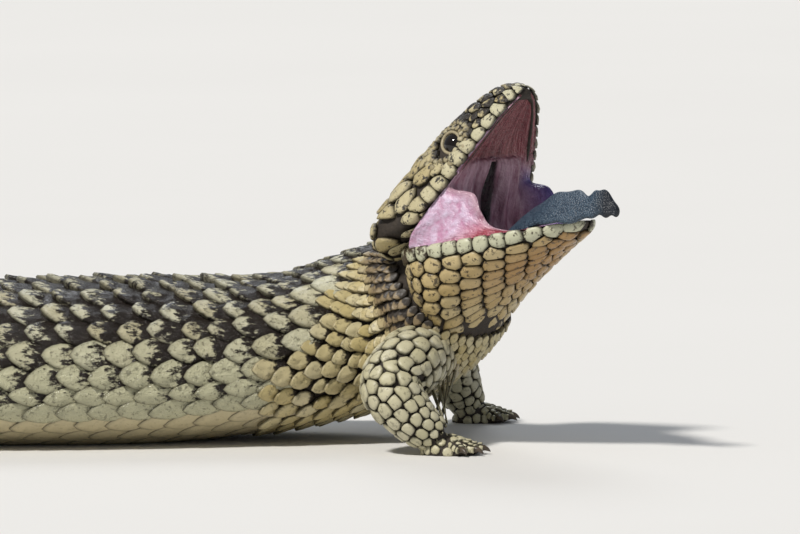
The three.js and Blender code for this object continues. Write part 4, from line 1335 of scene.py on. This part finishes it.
def new_node(nodes, kind, **settings):
    """A node with its sockets, or where it has none of that name its settings, given values."""
    node = nodes.new(kind)
    for key, value in settings.items():
        if key in node.inputs:
            node.inputs[key].default_value = value
        else:
            setattr(node, key, value)
    return node


def body_place(nodes):
    """Places on the whole model, for patterns that run on over all pieces."""
    return nodes.new("ShaderNodeTexCoord").outputs["Object"]


def add_relief(nodes, links, shader, height, strength, depth, invert=False):
    """Bump of a depth in millimetres on a shader."""
    relief = new_node(nodes, "ShaderNodeBump", Strength=strength, Distance=depth * MM, invert=invert)
    links.new(height, relief.inputs["Height"])
    links.new(relief.outputs["Normal"], shader.inputs["Normal"])


def noise(nodes, links, vector, scale, detail=4.0, rough=0.55):
    """Noise over a vector, its scale a number or a socket."""
    node = new_node(nodes, "ShaderNodeTexNoise", Detail=detail, Roughness=rough)
    links.new(vector, node.inputs["Vector"])
    if isinstance(scale, float):
        node.inputs["Scale"].default_value = scale
    else:
        links.new(scale, node.inputs["Scale"])
    return node.outputs["Fac"]


def math_node(nodes, links, operation, a, b=0.0, clamp=False):
    """Result of an operation on numbers or sockets."""
    node = nodes.new("ShaderNodeMath")
    node.operation, node.use_clamp = operation, clamp
    for socket, value in zip(node.inputs, (a, b)):
        if isinstance(value, (int, float)):
            socket.default_value = value
        else:
            links.new(value, socket)
    return node.outputs[0]


def mix_colour(nodes, links, factor, a, b):
    """From colour a at factor 0 to colour b at factor 1, each a value or a socket."""
    node = nodes.new("ShaderNodeMix")
    node.data_type = "RGBA"
    for socket, value in ((node.inputs[0], factor), (node.inputs[6], a), (node.inputs[7], b)):
        if isinstance(value, (int, float)):
            socket.default_value = value
        elif isinstance(value, tuple):
            socket.default_value = (*value, 1)
        else:
            links.new(value, socket)
    return node.outputs[2]


SCALE_INPUTS = {  # what a coat's material sets, with the usual value
    "Pale": (0.6, 0.52, 0.32), "Pale Two": (0.66, 0.62, 0.44), "Dark": (0.02, 0.016, 0.012),
    "Tinted": (0.4, 0.26, 0.1), "Lip": (0.62, 0.64, 0.46),
    "Speck": 0.4, "Streak": 0.8, "Grain": 5.4, "Rear": 0.3, "Seam": 0.8, "Gloss": 0.34,
}


SEAM_COLOUR = (0.014, 0.011, 0.008)


def scale_group():
    """Colour, roughness and height of a scale. Cream shows where streaky noise falls below the cover, more so
    towards the rear of the scale, dark specks lie on it, and the rim of the scale fades into the seam. The
    extra cream towards the raised rear is partly the scale's own pattern and partly a painted highlight on
    its lit rear crest, with painted shade on its sunk front."""
    group = bpy.data.node_groups.new("scale finish", "ShaderNodeTree")
    for name, usual in SCALE_INPUTS.items():
        kind = "NodeSocketColor" if isinstance(usual, tuple) else "NodeSocketFloat"
        group.interface.new_socket(name, in_out="INPUT", socket_type=kind)
    results = {"Color": "NodeSocketColor", "Roughness": "NodeSocketFloat", "Height": "NodeSocketFloat"}
    for name, kind in results.items():
        group.interface.new_socket(name, in_out="OUTPUT", socket_type=kind)
    nodes, links = group.nodes, group.links
    inputs, out = nodes.new("NodeGroupInput").outputs, nodes.new("NodeGroupOutput")

    def maths(operation, a, b=0.0, clamp=False):
        return math_node(nodes, links, operation, a, b, clamp)

    def mixed(factor, a, b):
        return mix_colour(nodes, links, factor, a, b)

    read = {}
    for key in ("rand", "edge", "cover", "rear", "tint", "lip"):
        read[key] = new_node(nodes, "ShaderNodeAttribute", attribute_name=key).outputs["Fac"]
    split = nodes.new("ShaderNodeSeparateXYZ")
    links.new(new_node(nodes, "ShaderNodeUVMap", uv_map="Plate").outputs[0], split.inputs[0])
    place = nodes.new("ShaderNodeCombineXYZ")
    links.new(maths("MULTIPLY", split.outputs[0], inputs["Streak"]), place.inputs[0])
    links.new(split.outputs[1], place.inputs[1])
    links.new(maths("MULTIPLY", read["rand"], 37.0), place.inputs[2])
    body = body_place(nodes)
    streaks = noise(nodes, links, place.outputs[0], inputs["Grain"], 6.0, 0.66)
    grain = noise(nodes, links, body, 1700.0, 3.0, 0.6)
    patches = noise(nodes, links, body, 42.0, 2.0, 0.5)
    wear = noise(nodes, links, body, 420.0, 4.0, 0.62)
    level = maths("SUBTRACT", read["cover"], streaks)
    level = maths("ADD", level, maths("MULTIPLY", maths("SUBTRACT", patches, 0.5), 0.2))
    # Rear: paler towards the raised rear and darker at the sunk front. This is partly the scale's own
    # pattern, partly a painted highlight on the crest and painted shade on the front.
    level = maths("ADD", level, maths("MULTIPLY", maths("SUBTRACT", read["rear"], 0.5), inputs["Rear"]))
    cream = maths("MULTIPLY", level, 11.0, True)
    speck = maths("MULTIPLY", maths("SUBTRACT", noise(nodes, links, body, 640.0, 3.0, 0.7), 0.56), 14.0, True)
    speck = maths("MULTIPLY", speck, inputs["Speck"])
    pale = mixed(read["rand"], inputs["Pale"], inputs["Pale Two"])
    pale = mixed(read["tint"], pale, inputs["Tinted"])
    pale = mixed(read["lip"], pale, inputs["Lip"])
    pale = mixed(maths("MULTIPLY", wear, 0.3), pale, inputs["Dark"])
    pale = mixed(speck, pale, inputs["Dark"])
    colour = mixed(cream, inputs["Dark"], pale)
    rim = maths("MULTIPLY", maths("POWER", read["edge"], 9.0), inputs["Seam"], True)
    links.new(mixed(rim, colour, SEAM_COLOUR), out.inputs["Color"])
    links.new(maths("ADD", maths("MULTIPLY", wear, 0.3), inputs["Gloss"]), out.inputs["Roughness"])
    height = maths("ADD", maths("MULTIPLY", streaks, 1.0), maths("MULTIPLY", grain, 0.35))
    links.new(maths("ADD", height, maths("MULTIPLY", wear, 0.8)), out.inputs["Height"])
    return group


SCALE_FINISH = scale_group()


def scale_material(name, bump=0.5, depth=0.35, **changes):
    """A coat's material: the shared scale finish with the values named here in place of the usual ones."""
    made, nodes, links, shader = material(name)
    shader.inputs["Specular IOR Level"].default_value = changes.get("specular", 0.5)
    group = nodes.new("ShaderNodeGroup")
    group.node_tree = SCALE_FINISH
    for key, usual in SCALE_INPUTS.items():
        value = changes.get(key.lower().replace(" ", "_"), usual)
        group.inputs[key].default_value = (*value, 1) if isinstance(value, tuple) else value
    links.new(group.outputs["Color"], shader.inputs["Base Color"])
    links.new(group.outputs["Roughness"], shader.inputs["Roughness"])
    add_relief(nodes, links, shader, group.outputs["Height"], bump, depth)
    return made


def skin_material():
    """Near-black skin with a fine grain, which shows as the seams between scales."""
    made, nodes, links, shader = material("skin between scales")
    body = body_place(nodes)
    grain = noise(nodes, links, body, 900.0, 3.0)
    colour = mix_colour(nodes, links, grain, (0.012, 0.009, 0.007), (0.05, 0.036, 0.024))
    links.new(colour, shader.inputs["Base Color"])
    shader.inputs["Roughness"].default_value = 0.7
    add_relief(nodes, links, shader, grain, 0.7, 0.5)
    return made


def mouth_material():
    """Maroon palate, mauve folds, lilac near cheek with dark red low down at the lip, violet far cheek, and a
    throat painted near-black. The dark red is partly the lip's own red and partly painted shade where the
    sheet faces up into the pocket. The near-black of the throat is painted shade in the gullet."""
    made, nodes, links, shader = material("wet mouth lining")
    body = body_place(nodes)
    unwrap = new_node(nodes, "ShaderNodeUVMap", uv_map="OFBake").outputs[0]
    stretch = new_node(nodes, "ShaderNodeMapping", Scale=(70, 7, 1))
    links.new(unwrap, stretch.inputs["Vector"])

    def maths(operation, a, b=0.0, clamp=False):
        return math_node(nodes, links, operation, a, b, clamp)

    def mixed(factor, a, b):
        return mix_colour(nodes, links, factor, a, b)

    def contrast(value, low, gain):
        return maths("MULTIPLY", maths("SUBTRACT", value, low), gain, True)

    cloud = contrast(noise(nodes, links, body, 150.0, 4.0, 0.6), 0.3, 2.5)
    vein = contrast(noise(nodes, links, body, 380.0, 4.0, 0.65), 0.35, 3.0)
    streak = contrast(noise(nodes, links, stretch.outputs[0], 1.0, 3.0, 0.6), 0.3, 2.5)
    read = {key: new_node(nodes, "ShaderNodeAttribute", attribute_name=key).outputs["Fac"]
            for key in ("near", "far", "hole", "down")}
    palate = mixed(streak, (0.10, 0.020, 0.026), (0.34, 0.12, 0.13))
    wall = mixed(streak, (0.26, 0.11, 0.16), (0.62, 0.42, 0.50))
    base = mixed(contrast(read["down"], 0.2, 8.0), palate, wall)
    lilac = mixed(vein, (0.52, 0.26, 0.40), (0.70, 0.58, 0.74))
    # Dark red low on the near cheek: partly the lip's own red, partly painted shade where the sheet faces up
    # into the pocket.
    lip_red_and_pocket_shade = mixed(vein, (0.38, 0.03, 0.06), (0.70, 0.26, 0.33))
    pink = mixed(contrast(read["down"], 0.60, 8.0), lilac, lip_red_and_pocket_shade)
    violet = mixed(cloud, (0.08, 0.055, 0.24), (0.26, 0.18, 0.46))
    base = mixed(read["near"], base, pink)
    base = mixed(read["far"], base, violet)
    # The throat's dent is painted near-black: painted shade for the depth of the gullet.
    base = mixed(read["hole"], base, (0.010, 0.004, 0.005))
    links.new(base, shader.inputs["Base Color"])
    shader.inputs["Roughness"].default_value = 0.24
    add_relief(nodes, links, shader, maths("ADD", vein, streak), 0.6, 0.6)
    return made


def tongue_material():
    """Slate blue over fine papillae, darker at the tip, dull red under the root. The papillae's pale tops are
    partly their own tone and partly a painted highlight, and their bump catches the light too.
    """
    made, nodes, links, shader = material("tongue")
    body = body_place(nodes)
    pores = new_node(nodes, "ShaderNodeTexVoronoi", Scale=1900.0)
    links.new(body, pores.inputs["Vector"])
    cloud = noise(nodes, links, body, 260.0, 4.0, 0.6)
    reach = new_node(nodes, "ShaderNodeAttribute", attribute_name="reach").outputs["Fac"]
    upside = new_node(nodes, "ShaderNodeAttribute", attribute_name="upside").outputs["Fac"]
    blue = mix_colour(nodes, links, cloud, (0.010, 0.020, 0.036), (0.032, 0.060, 0.095))
    # Each papilla's centre is paler: partly its own tone, partly a painted highlight.
    papilla_tone_and_highlight = math_node(nodes, links, "MULTIPLY", pores.outputs["Distance"], 1.5, clamp=True)
    blue = mix_colour(nodes, links, papilla_tone_and_highlight, (0.085, 0.13, 0.18), blue)
    tip = math_node(nodes, links, "MULTIPLY", math_node(nodes, links, "SUBTRACT", reach, 0.74), 8.0, True)
    blue = mix_colour(nodes, links, tip, blue, (0.008, 0.012, 0.020))
    below = math_node(nodes, links, "MULTIPLY", math_node(nodes, links, "SUBTRACT", -0.35, upside), 4.0, True)
    root = math_node(nodes, links, "SUBTRACT", 1.0, math_node(nodes, links, "MULTIPLY", reach, 2.2), True)
    red = math_node(nodes, links, "MULTIPLY", below, root)
    colour = mix_colour(nodes, links, red, blue, (0.22, 0.05, 0.04))
    links.new(colour, shader.inputs["Base Color"])
    shader.inputs["Roughness"].default_value = 0.42
    add_relief(nodes, links, shader, pores.outputs["Distance"], 0.9, 0.3, invert=True)
    return made


def eye_material():
    """Polished near-black with a faint cloud of brown under a clear coat."""
    made, nodes, links, shader = material("eye")
    body = body_place(nodes)
    cloud = noise(nodes, links, body, 900.0, 3.0)
    brown = mix_colour(nodes, links, cloud, (0.004, 0.003, 0.003), (0.014, 0.009, 0.006))
    links.new(brown, shader.inputs["Base Color"])
    shader.inputs["Roughness"].default_value = 0.06
    shader.inputs["Specular IOR Level"].default_value = 0.3
    shader.inputs["Coat Weight"].default_value = 0.4
    shader.inputs["Coat Roughness"].default_value = 0.02
    return made


def claw_material():
    """Dark horn clouded with brown."""
    made, nodes, links, shader = material("claw horn")
    body = body_place(nodes)
    cloud = noise(nodes, links, body, 700.0, 3.0)
    horn = mix_colour(nodes, links, cloud, (0.03, 0.022, 0.016), (0.12, 0.09, 0.06))
    links.new(horn, shader.inputs["Base Color"])
    shader.inputs["Roughness"].default_value = 0.35
    return made


UMBER = (0.020, 0.015, 0.012)

# rear=0.6 makes the back scutes paler at their raised rear crest and darker at the front. This is partly
# their pattern, partly painted highlight and painted shade.
plates_finish = scale_material(
    "back scutes", 1.0, 0.8, pale=(0.58, 0.53, 0.34), pale_two=(0.68, 0.66, 0.48), dark=UMBER,
    tinted=(0.62, 0.60, 0.40), speck=0.5, streak=0.5, grain=12.0, rear=0.6, seam=0.8, gloss=0.0,
    specular=0.32)
belly_finish = scale_material(
    "belly scales", pale=(0.58, 0.52, 0.34), pale_two=(0.66, 0.60, 0.44), dark=(0.05, 0.04, 0.03),
    tinted=(0.60, 0.52, 0.32), speck=0.2, seam=0.7, gloss=0.36)
shoulder_finish = scale_material(
    "shoulder scales", 0.7, pale=(0.60, 0.49, 0.22), pale_two=(0.70, 0.62, 0.38), dark=(0.03, 0.022, 0.015),
    tinted=(0.26, 0.19, 0.10), speck=0.4, streak=0.7, rear=0.7, seam=0.8, gloss=0.28)
head_finish = scale_material(
    "head shields", 1.0, 0.7, pale=(0.52, 0.42, 0.20), pale_two=(0.66, 0.58, 0.35),
    dark=(0.025, 0.019, 0.013), lip=(0.66, 0.62, 0.42), speck=1.0, grain=9.0, rear=0.3, seam=0.9, gloss=0.22)
# Tinted here is the darker warm brown painted under the chin as shade
throat_finish = scale_material(
    "throat scales", 0.6, pale=(0.60, 0.45, 0.20), pale_two=(0.68, 0.56, 0.31), dark=(0.05, 0.034, 0.018),
    tinted=(0.44, 0.25, 0.08), lip=(0.62, 0.62, 0.44), speck=0.9, streak=0.9, grain=7.0, rear=0.25,
    gloss=0.26)
leg_finish = scale_material(
    "leg scales", 0.6, pale=(0.56, 0.52, 0.33), pale_two=(0.64, 0.60, 0.42), dark=(0.035, 0.026, 0.017),
    tinted=(0.42, 0.34, 0.18), streak=0.9, rear=0.3, seam=0.7, gloss=0.28)
lid_finish = scale_material(
    "eyelid scales", pale=(0.34, 0.28, 0.16), pale_two=(0.56, 0.50, 0.32), dark=(0.03, 0.024, 0.016),
    speck=0.5)


def finish(piece, made, slot, *replaced):
    """Gives a piece its material and its body, and hides the nodes that it stands for. The slot is not used.
    """
    piece.data.materials.clear()
    piece.data.materials.append(made)
    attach(piece, "root")
    if replaced:
        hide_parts(*replaced)


def plain_rim(name, colour):
    """A colour clouded with a darker share of itself."""
    made, nodes, links, shader = material(name)
    body = body_place(nodes)
    cloud = noise(nodes, links, body, 1200.0, 3.0)
    dark = tuple(c * 0.45 for c in colour)
    links.new(mix_colour(nodes, links, cloud, dark, colour), shader.inputs["Base Color"])
    shader.inputs["Roughness"].default_value = 0.4
    add_relief(nodes, links, shader, cloud, 0.6, 0.3)
    return made


# Assembly

skin = make_skin()
finish(skin, skin_material(), "pale_scales", "torso", "tail", "neck", "head", "jaw_lower", *LEGS)
back, belly, tail = make_trunk_coats()
finish(back, plates_finish, "back_scutes")
finish(belly, belly_finish, "pale_scales")
finish(tail, plates_finish, "back_scutes")
finish(make_shoulder_coat(), shoulder_finish, "pale_scales")
finish(make_head_coat(), head_finish, "pale_scales")
for lids in make_lid_coat():
    finish(lids, lid_finish, "pale_scales")
finish(make_jaw_coat(), throat_finish, "throat_scales")
horn = claw_material()
for leg in LEGS:
    finish(make_leg_coat(leg), leg_finish, "leg_scales")
    finish(make_foot_coat(leg), leg_finish, "leg_scales")
    finish(make_claws(leg), horn, "leg_scales")
finish(make_mouth(), mouth_material(), "mouth_lining", "mouth_lining")
finish(make_tongue(), tongue_material(), "tongue", "tongue")
glossy = eye_material()
lid_rim = plain_rim("lid rim", (0.50, 0.42, 0.26))
for side, name in ((1, "right"), (-1, "left")):
    eye, rim = make_eye(side)
    finish(eye, glossy, "eye", f"eye_{name}")
    finish(rim, lid_rim, "pale_scales")


# Floor, light and camera

PHOTO_WIDTH = 800
PHOTO_PIXELS_PER_MM = 3.5
VIEW_WIDTH = PHOTO_WIDTH / PHOTO_PIXELS_PER_MM * MM  # metres across the view at the animal
VIEW_TARGET = (0.1, 0.0, 0.0492)
VIEW_DISTANCE = 4.0
VIEW_ELEVATION = math.radians(5)


def make_floor():
    """A square pale floor at level zero; half is half its side in metres."""
    half = 12.0
    corners = [(-half, -half, 0), (half, -half, 0), (half, half, 0), (-half, half, 0)]
    mesh = bpy.data.meshes.new("floor")
    mesh.from_pydata(corners, [], [(0, 1, 2, 3)])
    floor = bpy.data.objects.new("floor", mesh)
    bpy.context.scene.collection.objects.link(floor)
    made, nodes, links, shader = material("pale floor")
    body = body_place(nodes)
    cloud = noise(nodes, links, body, 3.0, 3.0)
    pale = mix_colour(nodes, links, cloud, (0.73, 0.72, 0.70), (0.77, 0.76, 0.74))
    links.new(pale, shader.inputs["Base Color"])
    shader.inputs["Roughness"].default_value = 0.8
    mesh.materials.append(made)
    floor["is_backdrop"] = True


def turned_to(aim):
    """Turn that points a lamp along a direction."""
    flat = math.hypot(aim[0], aim[1])
    return math.pi / 2 + math.atan2(aim[2], flat), 0, math.atan2(-aim[0], aim[1])


def add_sun(name, aim, strength, angle, colour):
    """A distant lamp that shines along a direction; its angle in degrees softens the shadows."""
    light = bpy.data.lights.new(name, "SUN")
    light.energy, light.angle, light.color = strength, math.radians(angle), colour
    lamp = bpy.data.objects.new(name, light)
    lamp.rotation_euler = turned_to(aim)
    bpy.context.scene.collection.objects.link(lamp)


def add_camera():
    """The photo's view: level with the animal and far off, tilted down by the elevation."""
    data = bpy.data.cameras.new("camera")
    camera = bpy.data.objects.new("camera", data)
    bpy.context.scene.collection.objects.link(camera)
    camera.location = (
        VIEW_TARGET[0],
        VIEW_TARGET[1] - VIEW_DISTANCE * math.cos(VIEW_ELEVATION),
        VIEW_TARGET[2] + VIEW_DISTANCE * math.sin(VIEW_ELEVATION),
    )
    camera.rotation_euler = (math.pi / 2 - VIEW_ELEVATION, 0, 0)
    data.sensor_width = 36
    data.lens = data.sensor_width * VIEW_DISTANCE / VIEW_WIDTH
    data.clip_start = 0.01
    bpy.context.scene.camera = camera


make_floor()
add_sun("key", (0.42, 0.5, -0.85), 3.2, 7, (1.0, 0.965, 0.91))
add_sun("back light", (0.05, -0.75, -0.6), 0.6, 25, (0.92, 0.96, 1.0))
world = bpy.data.worlds.new("studio")
world.use_nodes = True
world.node_tree.nodes["Background"].inputs[0].default_value = (0.84, 0.90, 1.0, 1)
world.node_tree.nodes["Background"].inputs[1].default_value = 0.26
bpy.context.scene.world = world
bpy.context.scene.view_settings.view_transform = "Standard"
add_camera()

model_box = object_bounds()
boxes = {"cad": cad_box, "model": model_box}
{name: [list(corner) for corner in box] for name, box in boxes.items()}
